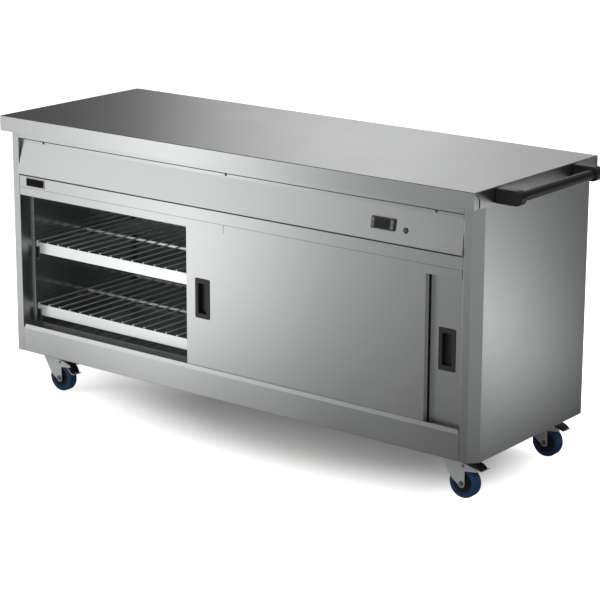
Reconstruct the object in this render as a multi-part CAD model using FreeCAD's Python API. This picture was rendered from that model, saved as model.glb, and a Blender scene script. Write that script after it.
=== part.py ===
"""Mobile heated serving trolley: a stainless hot cupboard with two sliding doors.

Frame: +X to the right along the front, +Y to the rear, +Z up, millimetres.
Origin: on the floor, under the middle of the whole trolley with its push handle.
Rest pose: left door slid to the right, right door closed, castors trailing to +X.
"""
import FreeCAD, Part
import math
import os
from FreeCAD import Vector

# ---------------------------------------------------------------- overall
worktop_length = 1765.0
worktop_depth = 635.0
worktop_height = 900.0
worktop_edge = 48.0
worktop_sheet = 1.5
worktop_return = 25.0
body_front_setback = 28.0
body_rear_setback = 40.0
body_bottom_height = 138.0
sheet = 1.2
bend_inside = 1.0
hairline = 0.6

# ---------------------------------------------------------------- corner posts
post_width = 50.0
post_chamfer_x = 23.4
post_chamfer_y = 27.0
jamb_depth = 50.0
rear_return = 25.0

# ---------------------------------------------------------------- front levels
header_bottom_drop = 69.5
header_lap = 4.0
top_flange = 30.0
fascia_fold_drop = 84.0
fascia_bottom_drop = 183.0
fascia_recess = 12.0
fascia_proud = 7.0
fascia_return = 18.0
fascia_end_gap = 2.5
rail_top_drop = 186.5
rail_height = 37.9
cover_height = 25.6
cover_lap = 18.0
cover_foot = 3.5
lip_top_height = 227.5
skirt_fold_height = 214.5
lip_lean = 2.6
lip_end_cut = 7.0

# ---------------------------------------------------------------- heated compartment
liner_step = 7.2
interior_floor_height = 228.0
interior_ceiling_drop = 210.0
liner_back_gap = 29.0
runner_height = 39.5
runner_width = 18.0
runner_wall = 1.5
runner_front_gap = 3.0
centre_runner_width = 36.0
upright_width = 30.0
upright_depth = 14.0
upright_top_gap = 50.0
centre_web_thickness = 3.0

# ---------------------------------------------------------------- wire shelves
shelf_levels = {"lower": 283.0, "upper": 488.0}
shelf_bar_height = 35.0
shelf_bar_thickness = 2.0
shelf_ear_height = 14.0
shelf_strip_thickness = 3.0
shelf_wire_diameter = 5.0
shelf_wire_sides = 6
shelf_wire_count = 19
shelf_rest_gap = 0.3
shelf_side_gap = 2.5
shelf_wire_inset = 5.0
shelf_front_gap = 5.0
shelf_rear_gap = 3.0

# ---------------------------------------------------------------- sliding doors
door_width = 858.0
door_thickness = 17.0
door_bottom_height = 204.0
door_top_gap = 3.6
door_setback = 5.5
door_gap = 6.0
door_skin = 1.0
door_back_lip = 25.0
door_end_stop = 2.0
outer_door_open = 682.0

# ---------------------------------------------------------------- door pulls
pull_width = 56.0
pull_height = 122.0
pull_proud = 1.5
pull_edge_offset = 34.0
recess_width = 28.0
recess_height = 88.0
recess_depth = 12.0
pull_wall = 2.0
pull_fit = 0.3

# ---------------------------------------------------------------- hangers and tracks
hanger_inset = 90.0
hanger_width = 40.0
hanger_thickness = 2.0
hanger_setback = 5.0
roller_diameter = 22.0
roller_width = 5.0
roller_lip_gap = 0.7
running_gap = 0.3
pin_diameter = 5.0
shaft_clearance = 0.05
track_wall = 1.5
track_ledge_gap = 7.0
track_lip_height = 2.5
track_lip_width = 1.0
track_hanger_gap = 0.5
floor_track_height = 200.0
floor_rib_height = 16.0
floor_rib_width = 2.0

# ---------------------------------------------------------------- control panel
controller_centre_x = 1451.5
controller_slope_offset = 50.5
bezel_width = 77.0
bezel_height = 34.0
bezel_proud = 6.5
controller_body_width = 70.0
controller_body_height = 28.0
controller_body_depth = 50.0
cutout_fit = 0.3
window_width = 52.0
window_height = 28.6
window_thickness = 2.0
key_width = 8.5
key_height = 11.5
key_depth = 4.8
key_proud = 0.8
key_gap = 0.35
key_pitch = 14.0
key_travel = 0.8
lamp_centre_x = 1527.0
lamp_slope_offset = 41.5
lamp_diameter = 17.0
lamp_body_diameter = 12.0
lamp_body_length = 24.0
lamp_dome = 3.5
screw_inset = 147.0
screw_drop = 77.0
screw_head_diameter = 8.0
screw_head_height = 2.6

# ---------------------------------------------------------------- push handle
handle_reach = 63.0
handle_bracket_height = 42.0
handle_bracket_thickness = 30.0
handle_drop = 24.0
handle_end_inset = 70.0
handle_tube_diameter = 28.0
handle_tube_wall = 2.0
handle_socket_depth = 14.0
handle_socket_fit = 0.1
handle_collar_diameter = 36.0
handle_collar_width = 5.0
handle_edge_bevel = 2.5

# ---------------------------------------------------------------- castors
castor_end_inset = 109.0
castor_front_inset = 121.0
castor_rear_inset = 78.0
castor_trail = 22.0
castor_height = 126.0
castor_plate_length = 96.0
castor_plate_width = 68.0
castor_plate_thickness = 3.0
race_diameter = 50.0
race_depth = 12.7
kingpin_diameter = 12.0
kingpin_nut_width = 19.0
kingpin_nut_depth = 5.0
crown_thickness = 3.0
crown_nose = 26.0
fork_sheet = 2.5
fork_end_radius = 12.0
fork_edge_ahead = 10.0
fork_back_reach = 66.0
ear_reach = 53.0
wheel_diameter = 90.0
tyre_width = 32.0
tyre_shoulder = 4.0
hub_diameter = 62.0
hub_width = 26.0
hub_boss_diameter = 24.0
fork_wheel_gap = 3.0
boss_fork_gap = 0.5
axle_diameter = 8.0
axle_nut_width = 13.0
axle_nut_depth = 4.0
pedal_pin_diameter = 6.0
pedal_pivot_ahead = 5.0
pedal_pivot_rise = 53.0
pedal_knuckle_wall = 1.45
pedal_side_gap = 1.5
pedal_reach = 56.0
pedal_lip = 10.0
pedal_plate = 2.0
pedal_pad_height = 9.0
pedal_press_angle = 28.0

# ---------------------------------------------------------------- chassis, heater, inlet
channel_depth = 12.0
channel_wall = 3.0
pan_flange = 12.0
element_diameter = 8.5
element_height = 178.0
element_inset = 170.0
element_spread = 220.0
bracket_sheet = 2.0
bracket_width = 40.0
gland_inset = 150.0
gland_drop = 120.0
gland_thread_diameter = 20.0
gland_hex = 26.0
gland_bore = 10.0
gland_nut = 6.0
gland_dome = 14.0
gland_inner = 8.0
vent_count = 8
vent_length = 60.0
vent_width = 5.0
vent_pitch = 90.0
vent_drop = 100.0

# ---------------------------------------------------------------- derived places
overall_length = worktop_length + handle_reach + handle_bracket_height / 2
x_left = -overall_length / 2
x_right = x_left + worktop_length
x_middle = (x_left + x_right) / 2
y_front = -worktop_depth / 2
y_rear = worktop_depth / 2
body_front = y_front + body_front_setback
body_rear = y_rear - body_rear_setback
worktop_bottom = worktop_height - worktop_edge
worktop_underside = worktop_height - worktop_sheet
header_bottom_height = worktop_height - header_bottom_drop
fascia_fold_height = worktop_height - fascia_fold_drop
fascia_bottom_height = worktop_height - fascia_bottom_drop
rail_top_height = worktop_height - rail_top_drop
rail_bottom_height = rail_top_height - rail_height
cover_bottom_height = rail_bottom_height - cover_height
interior_ceiling_height = worktop_height - interior_ceiling_drop
upright_top_height = interior_ceiling_height - upright_top_gap
door_top_height = rail_bottom_height - door_top_gap
track_ledge_height = door_top_height + track_ledge_gap
pull_bottom_height = (door_bottom_height + door_top_height - pull_height) / 2
screw_height = worktop_height - screw_drop
gland_height = worktop_height - gland_drop
vent_height = worktop_height - vent_drop
jamb_left = x_left + post_width
jamb_right = x_right - post_width
liner_front = body_front + jamb_depth
liner_left_face = jamb_left + liner_step
liner_right_face = jamb_right - liner_step
liner_back_face = body_rear - liner_back_gap
fascia_slope = math.degrees(math.atan2(fascia_recess + fascia_proud,
                                       fascia_fold_height - fascia_bottom_height))
outer_door_front = body_front + door_setback
inner_door_front = outer_door_front + door_thickness + door_gap
outer_door_left = jamb_left + door_end_stop + outer_door_open
inner_door_left = jamb_right - door_end_stop - door_width
roller_axis_height = track_ledge_height + roller_diameter / 2 + running_gap
pan_top = body_bottom_height + 2 * sheet
wheel_radius = wheel_diameter / 2
fork_half_width = tyre_width / 2 + fork_wheel_gap
handle_axis_x = x_right + handle_reach
handle_axis_z = worktop_height - handle_drop
shelf_rest_depth = shelf_ear_height + shelf_rest_gap

castor_places = {
    "front_left": (x_left + castor_end_inset, y_front + castor_front_inset),
    "front_right": (x_right - castor_end_inset, y_front + castor_front_inset),
    "rear_left": (x_left + castor_end_inset, y_rear - castor_rear_inset),
    "rear_right": (x_right - castor_end_inset, y_rear - castor_rear_inset),
}
braked_castor = "front_left"


# ================================================================ helpers
def box(x0, x1, y0, y1, z0, z1):
    """Axis-aligned block between two corners."""
    return Part.makeBox(x1 - x0, y1 - y0, z1 - z0, Vector(x0, y0, z0))


def cylinder(radius, start, end):
    """Round bar from one point to another."""
    axis = end - start
    return Part.makeCylinder(radius, axis.Length, start, axis)


def extrude_x(points, x0, x1):
    """Prism along X of a polygon given as (y, z) points."""
    corners = [Vector(x0, y, z) for y, z in points]
    face = Part.Face(Part.makePolygon(corners + corners[:1]))
    return face.extrude(Vector(x1 - x0, 0, 0))


def extrude_y(points, y0, y1):
    """Prism along Y of a polygon given as (x, z) points."""
    corners = [Vector(x, y0, z) for x, z in points]
    face = Part.Face(Part.makePolygon(corners + corners[:1]))
    return face.extrude(Vector(0, y1 - y0, 0))


def extrude_z(points, z0, z1):
    """Prism along Z of a polygon given as (x, y) points."""
    corners = [Vector(x, y, z0) for x, y in points]
    face = Part.Face(Part.makePolygon(corners + corners[:1]))
    return face.extrude(Vector(0, 0, z1 - z0))


def polygon(x, z, radius, sides):
    """Regular polygon of 2-D points round a circle, with a flat square to its second axis."""
    step = 2 * math.pi / sides
    reach = radius / math.cos(step / 2)
    return [(x + reach * math.sin((index + 0.5) * step), z + reach * math.cos((index + 0.5) * step))
            for index in range(sides)]


def unit(start, end):
    """Unit step from one 2-D point to another."""
    dx, dy = end[0] - start[0], end[1] - start[1]
    length = math.hypot(dx, dy)
    return dx / length, dy / length


def offset_line(points, thickness):
    """Points of a polyline moved to its left by a thickness, mitred at the bends."""
    moved = []
    for index, point in enumerate(points):
        before = unit(points[max(index - 1, 0)], points[max(index - 1, 0) + 1])
        after_start = min(index, len(points) - 2)
        after = unit(points[after_start], points[after_start + 1])
        normal = (-before[1] - after[1], before[0] + after[0])
        scale = thickness / (1 + before[0] * after[0] + before[1] * after[1])
        moved.append((point[0] + normal[0] * scale, point[1] + normal[1] * scale))
    return moved


def bend_radii(points, thickness):
    """Bend radius at each point on the drawn side of a folded sheet."""
    radii = [0.0] * len(points)
    for index in range(1, len(points) - 1):
        first = unit(points[index - 1], points[index])
        second = unit(points[index], points[index + 1])
        turns_left = first[0] * second[1] - first[1] * second[0] > 0
        on_outside = turns_left == (thickness > 0)
        radii[index] = bend_inside + (abs(thickness) if on_outside else 0.0)
    return radii


def rounded_outline(points, radii, place):
    """Closed wire through 2-D points with an arc at each corner that has a radius."""
    edges = []
    count = len(points)
    previous = None
    first = None
    for index, (point, radius) in enumerate(zip(points, radii)):
        back = unit(point, points[index - 1])
        ahead = unit(point, points[(index + 1) % count])
        cosine = back[0] * ahead[0] + back[1] * ahead[1]
        half = math.acos(max(-1.0, min(1.0, cosine))) / 2
        reach = radius / math.tan(half) if radius > 0 else 0.0
        start = place(point[0] + back[0] * reach, point[1] + back[1] * reach)
        end = place(point[0] + ahead[0] * reach, point[1] + ahead[1] * reach)
        if previous is not None:
            edges.append(Part.LineSegment(previous, start).toShape())
        else:
            first = start
        if radius > 0:
            bisector = unit((0, 0), (back[0] + ahead[0], back[1] + ahead[1]))
            depth = radius / math.sin(half) - radius
            middle = place(point[0] + bisector[0] * depth, point[1] + bisector[1] * depth)
            edges.append(Part.Arc(start, middle, end).toShape())
        previous = end
    edges.append(Part.LineSegment(previous, first).toShape())
    return Part.Wire(edges)


def folded(points, thickness, place, run):
    """Folded sheet: a polyline thickened to its left and extruded along a run."""
    other_side = offset_line(points, thickness)
    radii = bend_radii(points, thickness)
    other_radii = bend_radii(points, thickness)
    for index, radius in enumerate(radii):
        if radius > 0:
            other_radii[index] = 2 * bend_inside + abs(thickness) - radius
    outline = points + other_side[::-1]
    wire = rounded_outline(outline, radii + other_radii[::-1], place)
    return Part.Face(wire).extrude(run)


def folded_x(points, thickness, x0, x1):
    """Folded sheet along X from (y, z) points of its outer side."""
    return folded(points, thickness, lambda y, z: Vector(x0, y, z), Vector(x1 - x0, 0, 0))


def folded_z(points, thickness, z0, z1):
    """Folded sheet along Z from (x, y) points of its outer side."""
    return folded(points, thickness, lambda x, y: Vector(x, y, z0), Vector(0, 0, z1 - z0))


def mirrored(shape):
    """The same shape on the other side of the cabinet's middle."""
    return shape.mirror(Vector(x_middle, 0, 0), Vector(1, 0, 0))


def revolved_y(points, x, z):
    """Solid of revolution about a Y axis from (radius, y) points."""
    corners = [Vector(x + radius, y, z) for radius, y in points]
    face = Part.Face(Part.makePolygon(corners + corners[:1]))
    return face.revolve(Vector(x, 0, z), Vector(0, 1, 0), 360)


def revolved_z(points, x, y):
    """Solid of revolution about a Z axis from (radius, z) points."""
    corners = [Vector(x + radius, y, z) for radius, z in points]
    face = Part.Face(Part.makePolygon(corners + corners[:1]))
    return face.revolve(Vector(x, y, 0), Vector(0, 0, 1), 360)


def on_fascia(shape, x, slope_offset):
    """Carry a shape from its own frame to a place on the sloping fascia.

    In its own frame the face lies in y = 0, +y goes into the panel and z runs up it.
    """
    placed = shape.copy()
    placed.translate(Vector(x, 0, slope_offset))
    placed.rotate(Vector(0, 0, 0), Vector(1, 0, 0), -fascia_slope)
    placed.translate(Vector(0, body_front - fascia_proud, fascia_bottom_height))
    return placed


# ================================================================ worktop and casing
def make_worktop():
    """Folded top: deep edges all round, corner notches and returns underneath."""
    outer = box(x_left, x_right, y_front, y_rear, worktop_bottom, worktop_height)
    outer = outer.makeFillet(worktop_sheet + bend_inside, top_edges(outer, worktop_height))
    wall = worktop_sheet
    inner = box(x_left + wall, x_right - wall, y_front + wall, y_rear - wall,
                worktop_bottom - wall, worktop_underside)
    inner = inner.makeFillet(bend_inside, top_edges(inner, worktop_underside))
    top = outer.cut(inner)
    end_return = 10.0
    notch = [(end_return, worktop_bottom - wall),
             (body_front_setback, worktop_bottom - wall),
             (body_front_setback, worktop_height - worktop_edge / 2),
             (end_return, worktop_height - end_return / 2)]
    for corner, inward in ((y_front, 1), (y_rear, -1)):
        outline = [(corner + inward * y, z) for y, z in notch]
        for x in (x_left, x_right):
            top = top.cut(extrude_x(outline, x - wall, x + wall))
    for corner, inward in ((y_front, 1), (y_rear, -1)):
        near, far = corner + inward * wall / 2, corner + inward * worktop_return
        flange = box(x_left + 2 * wall, x_right - 2 * wall, min(near, far), max(near, far),
                     worktop_bottom, worktop_bottom + wall)
        top = top.fuse(flange)
    return top.removeSplitter()


def top_edges(solid, height):
    """Straight edges of a block that lie at one height."""
    return [edge for edge in solid.Edges
            if all(abs(vertex.Z - height) < 0.001 for vertex in edge.Vertexes)]


def make_end_panel():
    """Left end: side, chamfered corner post, door jamb and rear return in one sheet."""
    outer_side = [(jamb_left, liner_front),
                  (jamb_left, body_front),
                  (x_left + post_chamfer_x, body_front),
                  (x_left, body_front + post_chamfer_y),
                  (x_left, body_rear),
                  (x_left + rear_return, body_rear)]
    return folded_z(outer_side, -sheet, body_bottom_height, worktop_bottom)


def make_back_panel():
    """Rear sheet between the end panels, with louvre slots and the gland hole."""
    face = body_rear - sheet
    outer_side = [(face, body_bottom_height),
                  (face, worktop_underside),
                  (face - top_flange, worktop_underside)]
    inset = worktop_sheet + bend_inside
    panel = folded_x(outer_side, sheet, x_left + inset, x_right - inset)
    first = x_middle - vent_pitch * (vent_count - 1) / 2
    for index in range(vent_count):
        x = first + index * vent_pitch
        slot = box(x - vent_length / 2, x + vent_length / 2, face - 2 * sheet, face + sheet,
                   vent_height - vent_width / 2, vent_height + vent_width / 2)
        panel = panel.cut(slot)
    x = x_right - gland_inset
    hole = cylinder(gland_thread_diameter / 2, Vector(x, face - 2 * sheet, gland_height),
                    Vector(x, face + sheet, gland_height))
    return panel.cut(hole)


def make_header_rail():
    """Front rail under the worktop; the fascia's top flange lies on its lower one."""
    seat = body_front + fascia_recess + sheet
    outer_side = [(seat, fascia_fold_height - header_lap),
                  (seat, header_bottom_height),
                  (body_front, header_bottom_height),
                  (body_front, worktop_underside),
                  (body_front + top_flange, worktop_underside)]
    return folded_x(outer_side, -sheet, jamb_left, jamb_right)


def make_fascia():
    """Sloping control panel with its top flange, lower return and cut-outs."""
    flange_front = body_front + fascia_recess
    lower_edge = body_front - fascia_proud
    outer_side = [(flange_front, header_bottom_height - bend_inside - hairline),
                  (flange_front, fascia_fold_height),
                  (lower_edge, fascia_bottom_height),
                  (lower_edge + fascia_return, fascia_bottom_height)]
    panel = folded_x(outer_side, sheet, jamb_left + fascia_end_gap, jamb_right - fascia_end_gap)
    half_width = controller_body_width / 2 + cutout_fit
    half_height = controller_body_height / 2 + cutout_fit
    opening = box(-half_width, half_width, -sheet, 3 * sheet, -half_height, half_height)
    panel = panel.cut(on_fascia(opening, x_left + controller_centre_x, controller_slope_offset))
    hole = cylinder(lamp_body_diameter / 2 + cutout_fit, Vector(0, -sheet, 0),
                    Vector(0, 3 * sheet, 0))
    return panel.cut(on_fascia(hole, x_left + lamp_centre_x, lamp_slope_offset))


def screw_places():
    """X of the three fascia screws."""
    return [x_left + screw_inset, x_middle, x_right - screw_inset]


def make_fascia_screws():
    """Three domed screw heads along the fascia's top flange."""
    y = body_front + fascia_recess
    head, top = screw_head_diameter / 2, y - screw_head_height
    outline = [(0, top), (head * 0.6, top), (head, y), (0, y)]
    return Part.makeCompound([revolved_y(outline, x, screw_height) for x in screw_places()])


def make_top_rail():
    """Rail over the doors, folded back over the door track."""
    outer_side = [(body_front, rail_bottom_height),
                  (body_front, rail_top_height),
                  (liner_front + sheet, rail_top_height),
                  (liner_front + sheet, interior_ceiling_height + sheet)]
    return folded_x(outer_side, -sheet, jamb_left, jamb_right)


def make_track_covers():
    """Two joggled strips under the rail that hide the door rollers."""
    lap_top = rail_bottom_height + cover_lap
    face_top = rail_bottom_height - hairline / 2
    foot = body_front + cover_foot
    outline = [(body_front, cover_bottom_height), (foot, cover_bottom_height),
               (foot, cover_bottom_height + sheet),
               (body_front + sheet, cover_bottom_height + sheet),
               (body_front + sheet, face_top - 2 * sheet),
               (body_front + 2 * sheet, face_top - sheet),
               (body_front + 2 * sheet, lap_top), (body_front + sheet, lap_top),
               (body_front + sheet, face_top), (body_front, face_top)]
    left = extrude_x(outline, jamb_left + hairline, x_middle - hairline)
    right = extrude_x(outline, x_middle + hairline, jamb_right - fascia_end_gap)
    return Part.makeCompound([left, right])


def make_front_skirt():
    """Lower front panel whose top edge leans back as a lip over the door track."""
    outer_side = [(body_front + 15.0, body_bottom_height),
                  (body_front, body_bottom_height),
                  (body_front, skirt_fold_height),
                  (body_front + lip_lean, lip_top_height)]
    x0, x1 = jamb_left + hairline, jamb_right - hairline
    skirt = folded_x(outer_side, -sheet, x0, x1)
    base, top = skirt_fold_height + 2.0, lip_top_height + 1.0
    for x, inward in ((x0, 1), (x1, -1)):
        wedge = [(x - inward, base), (x + inward * 0.4 * lip_end_cut, base),
                 (x + inward * lip_end_cut, top), (x - inward, top)]
        skirt = skirt.cut(extrude_y(wedge, body_front - 1.0, body_front + lip_lean + 2 * sheet))
    return skirt


def make_base_pan():
    """Floor of the chassis with two castor channels welded under it."""
    side, front, rear = sheet, body_front + sheet + bend_inside, body_rear - 2 * sheet
    outline = [(x_left + side, liner_front), (jamb_left, liner_front), (jamb_left, front),
               (jamb_right, front), (jamb_right, liner_front), (x_right - side, liner_front),
               (x_right - side, rear), (x_left + side, rear)]
    bottom = body_bottom_height + sheet
    pan = extrude_z(outline, bottom, pan_top)
    for x in (x_left + castor_end_inset, x_right - castor_end_inset):
        pan = pan.fuse(castor_channel(x, bottom))
    return pan.removeSplitter()


def castor_channel(x, top):
    """Open-topped channel that stiffens the pan over one pair of castors."""
    half = castor_plate_length / 2
    bottom = castor_height
    y0 = y_front + castor_front_inset - castor_plate_width / 2
    y1 = y_rear - castor_rear_inset + castor_plate_width / 2
    outside = box(x - half, x + half, y0, y1, bottom, top)
    inside = box(x - half + channel_wall, x + half - channel_wall, y0 - 1, y1 + 1,
                 bottom + channel_wall, top + 1)
    return outside.cut(inside)


# ================================================================ door tracks
def make_top_track():
    """Twin overhead track: two ledges with lips hang from one top flange."""
    top = rail_top_height - sheet
    under = top - track_wall
    ledge_bottom = track_ledge_height - track_wall
    front = outer_door_front - 0.5
    inner_step = door_thickness + door_gap
    edge = outer_door_front + hanger_setback + hanger_thickness + track_hanger_gap
    web = edge + track_lip_width + 2 * roller_lip_gap + roller_width + 0.1
    outline = [(front, top), (web + inner_step + track_wall, top)]
    for step in (inner_step, 0.0):
        outline += [(web + step + track_wall, under),
                    (web + step + track_wall, ledge_bottom),
                    (edge + step, ledge_bottom),
                    (edge + step, track_ledge_height + track_lip_height),
                    (edge + step + track_lip_width, track_ledge_height + track_lip_height),
                    (edge + step + track_lip_width, track_ledge_height),
                    (web + step, track_ledge_height),
                    (web + step, under)]
    outline.append((front, under))
    del outline[2]
    return extrude_x(outline, jamb_left, jamb_right)


def make_bottom_track():
    """Floor guide: a trough with one rib between the doors and a riser behind."""
    base = floor_track_height
    top = base + sheet
    rib = (outer_door_front + door_thickness + inner_door_front) / 2
    near, far = rib - floor_rib_width / 2, rib + floor_rib_width / 2
    front = body_front + sheet
    outline = [(front, base), (liner_front, base), (liner_front, interior_floor_height),
               (liner_front - sheet, interior_floor_height), (liner_front - sheet, top),
               (far, top), (far, top + floor_rib_height), (near, top + floor_rib_height),
               (near, top), (front + sheet, top), (front + sheet, top + 10.0), (front, top + 10.0)]
    return extrude_x(outline, jamb_left, jamb_right)


# ================================================================ heated compartment
def make_liner_end():
    """Left wall of the compartment with the narrow flange that meets the jamb."""
    inner_side = [(jamb_left - sheet, liner_front),
                  (liner_left_face, liner_front),
                  (liner_left_face, liner_back_face)]
    return folded_z(inner_side, sheet, interior_floor_height - sheet, interior_ceiling_height)


def make_liner_back():
    """Back wall of the compartment."""
    return box(liner_left_face - sheet, liner_right_face + sheet, liner_back_face,
               liner_back_face + sheet, interior_floor_height - sheet, interior_ceiling_height)


def make_liner_ceiling():
    """Roof of the compartment."""
    return box(liner_left_face - sheet, liner_right_face + sheet, liner_front,
               liner_back_face + sheet, interior_ceiling_height,
               interior_ceiling_height + sheet)


def make_liner_floor():
    """Floor of the compartment over the heating element."""
    return box(liner_left_face, liner_right_face, liner_front, liner_back_face,
               interior_floor_height - sheet, interior_floor_height)


def runner(x0, x1, top):
    """Box-section shelf runner from the front to the back wall."""
    y0 = liner_front + runner_front_gap
    wall = runner_wall
    outside = box(x0, x1, y0, liner_back_face, top - runner_height, top)
    inside = box(x0 + wall, x1 - wall, y0 - 1, liner_back_face + 1,
                 top - runner_height + wall, top - wall)
    return outside.cut(inside)


def upright(x0, y0, top):
    """Shelf upright standing on the compartment floor."""
    return box(x0, x0 + upright_width, y0, y0 + upright_depth, interior_floor_height, top)


def make_shelf_supports():
    """Left, right and centre frames that carry the wire shelves."""
    rest_heights = [level - shelf_rest_depth for level in shelf_levels.values()]
    rear = liner_back_face - upright_depth
    left = upright(liner_left_face + runner_width, rear, upright_top_height)
    for height in rest_heights:
        left = left.fuse(runner(liner_left_face, liner_left_face + runner_width, height))
    half = centre_runner_width / 2
    centre = upright(x_middle - upright_width / 2, rear, upright_top_height)
    for height in rest_heights:
        centre = centre.fuse(runner(x_middle - half, x_middle + half, height))
    front = liner_front + runner_front_gap
    web = centre_web_thickness / 2
    centre = centre.fuse(box(x_middle - web, x_middle + web, front, front + upright_width,
                             min(rest_heights) - runner_wall, max(rest_heights) - runner_height))
    return Part.makeCompound([left.removeSplitter(), centre.removeSplitter(),
                              mirrored(left.removeSplitter())])


def make_shelf(level):
    """Left wire shelf: deep front bar with ears, two strips and wires welded on top."""
    top = shelf_levels[level]
    x0 = liner_left_face + shelf_side_gap
    x1 = x_middle - shelf_side_gap
    y0 = liner_front + shelf_front_gap
    y1 = liner_back_face - upright_depth - shelf_rear_gap
    inner0 = liner_left_face + runner_width + shelf_side_gap / 2
    inner1 = x_middle - centre_runner_width / 2 - shelf_side_gap / 2
    outline = [(x0, top), (x1, top), (x1, top - shelf_ear_height),
               (inner1, top - shelf_ear_height), (inner1, top - shelf_bar_height),
               (inner0, top - shelf_bar_height), (inner0, top - shelf_ear_height),
               (x0, top - shelf_ear_height)]
    pieces = [extrude_y(outline, y0, y0 + shelf_bar_thickness)]
    for y in ((y0 + y1) / 2, y1 - shelf_strip_thickness):
        pieces.append(box(x0, x1, y, y + shelf_strip_thickness, top - shelf_ear_height, top))
    radius = shelf_wire_diameter / 2
    z = top + radius
    pitch = (x1 - x0 - 2 * shelf_wire_inset) / (shelf_wire_count - 1)
    for index in range(shelf_wire_count):
        x = x0 + shelf_wire_inset + index * pitch
        pieces.append(extrude_y(polygon(x, z, radius, shelf_wire_sides), y0, y1))
    return Part.makeCompound(pieces)


def make_heating_element():
    """Heating rods under the compartment floor, joined by two standing end plates."""
    x0, x1 = x_left + element_inset, x_right - element_inset
    middle = (liner_front + liner_back_face) / 2
    half = element_spread / 2
    z = element_height
    heater = None
    for x in (x0, x1 - bracket_sheet):
        plate = box(x, x + bracket_sheet, middle - half - bracket_width / 2,
                    middle + half + bracket_width / 2, pan_top, z + element_diameter)
        heater = plate if heater is None else heater.fuse(plate)
    for y in (middle - half, middle + half):
        heater = heater.fuse(cylinder(element_diameter / 2, Vector(x0, y, z), Vector(x1, y, z)))
    return heater.removeSplitter()


def make_cable_gland():
    """Cable inlet on the back panel: locknut, thread, hexagon and domed cap."""
    x = x_right - gland_inset
    face = body_rear - sheet
    thread = gland_thread_diameter / 2
    inner = face - sheet
    gland = cylinder(thread, Vector(x, inner - gland_inner, gland_height),
                     Vector(x, face, gland_height))
    gland = gland.fuse(hexagon(x, inner - gland_nut, inner))
    gland = gland.fuse(hexagon(x, face, face + gland_nut))
    outer = face + gland_nut
    dome = [(0, outer), (thread, outer), (thread, outer + gland_dome / 2),
            (thread * 0.7, outer + gland_dome), (0, outer + gland_dome)]
    gland = gland.fuse(revolved_y(dome, x, gland_height))
    bore = cylinder(gland_bore / 2, Vector(x, inner - gland_inner - 1, gland_height),
                    Vector(x, outer + gland_dome + 1, gland_height))
    return gland.cut(bore).removeSplitter()


def hexagon(x, y0, y1):
    """Hexagonal nut of the gland between two planes."""
    return extrude_y(polygon(x, gland_height, gland_hex / 2, 6), y0, y1)


# ================================================================ control panel
def make_controller_case():
    """Temperature controller: bezel with a window pocket and four key wells."""
    face = -bezel_proud
    case = box(-bezel_width / 2, bezel_width / 2, face, 0, -bezel_height / 2, bezel_height / 2)
    upright_edges = [edge for edge in case.Edges
                     if abs(edge.Vertexes[0].Y - edge.Vertexes[1].Y) > 1]
    case = case.makeFillet(2.0, upright_edges)
    body = box(-controller_body_width / 2, controller_body_width / 2, 0, controller_body_depth,
               -controller_body_height / 2, controller_body_height / 2)
    case = case.fuse(body)
    pocket = box(-window_width / 2, window_width / 2, face - 1, face + window_thickness,
                 -window_height / 2, window_height / 2)
    case = case.cut(pocket)
    well_bottom = face - key_proud + key_depth + key_travel + key_gap
    for x, z in key_places():
        well = box(x - key_width / 2 - key_gap, x + key_width / 2 + key_gap, face - 1,
                   well_bottom, z - key_height / 2 - key_gap, z + key_height / 2 + key_gap)
        case = case.cut(well)
    return on_fascia(case, x_left + controller_centre_x, controller_slope_offset)


def key_places():
    """Centres of the four keys, left column then right column, from the bottom."""
    column = (bezel_width / 2 + window_width / 2) / 2
    return [(side * column, row * key_pitch / 2) for side in (-1, 1) for row in (-1, 1)]


def make_controller_window():
    """Dark display window let into the bezel."""
    window = box(-window_width / 2, window_width / 2, -bezel_proud,
                 -bezel_proud + window_thickness, -window_height / 2, window_height / 2)
    return on_fascia(window, x_left + controller_centre_x, controller_slope_offset)


def make_key(x, z):
    """One push key, bevelled at its front edges."""
    face = -bezel_proud - key_proud
    key = box(x - key_width / 2, x + key_width / 2, face, face + key_depth,
              z - key_height / 2, z + key_height / 2)
    front = [edge for edge in key.Edges
             if all(abs(vertex.Y - face) < 0.001 for vertex in edge.Vertexes)]
    key = key.makeChamfer(key_proud / 2, front)
    return on_fascia(key, x_left + controller_centre_x, controller_slope_offset)


def make_indicator_lamp():
    """Round pilot lamp: low domed lens over a short body."""
    radius = lamp_diameter / 2
    body = lamp_body_diameter / 2
    outline = [(0, -lamp_dome), (radius * 0.6, -lamp_dome * 0.85), (radius, -lamp_dome * 0.35),
               (radius, 0), (body, 0), (body, lamp_body_length), (0, lamp_body_length)]
    lamp = revolved_y(outline, 0, 0)
    return on_fascia(lamp, x_left + lamp_centre_x, lamp_slope_offset)


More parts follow.
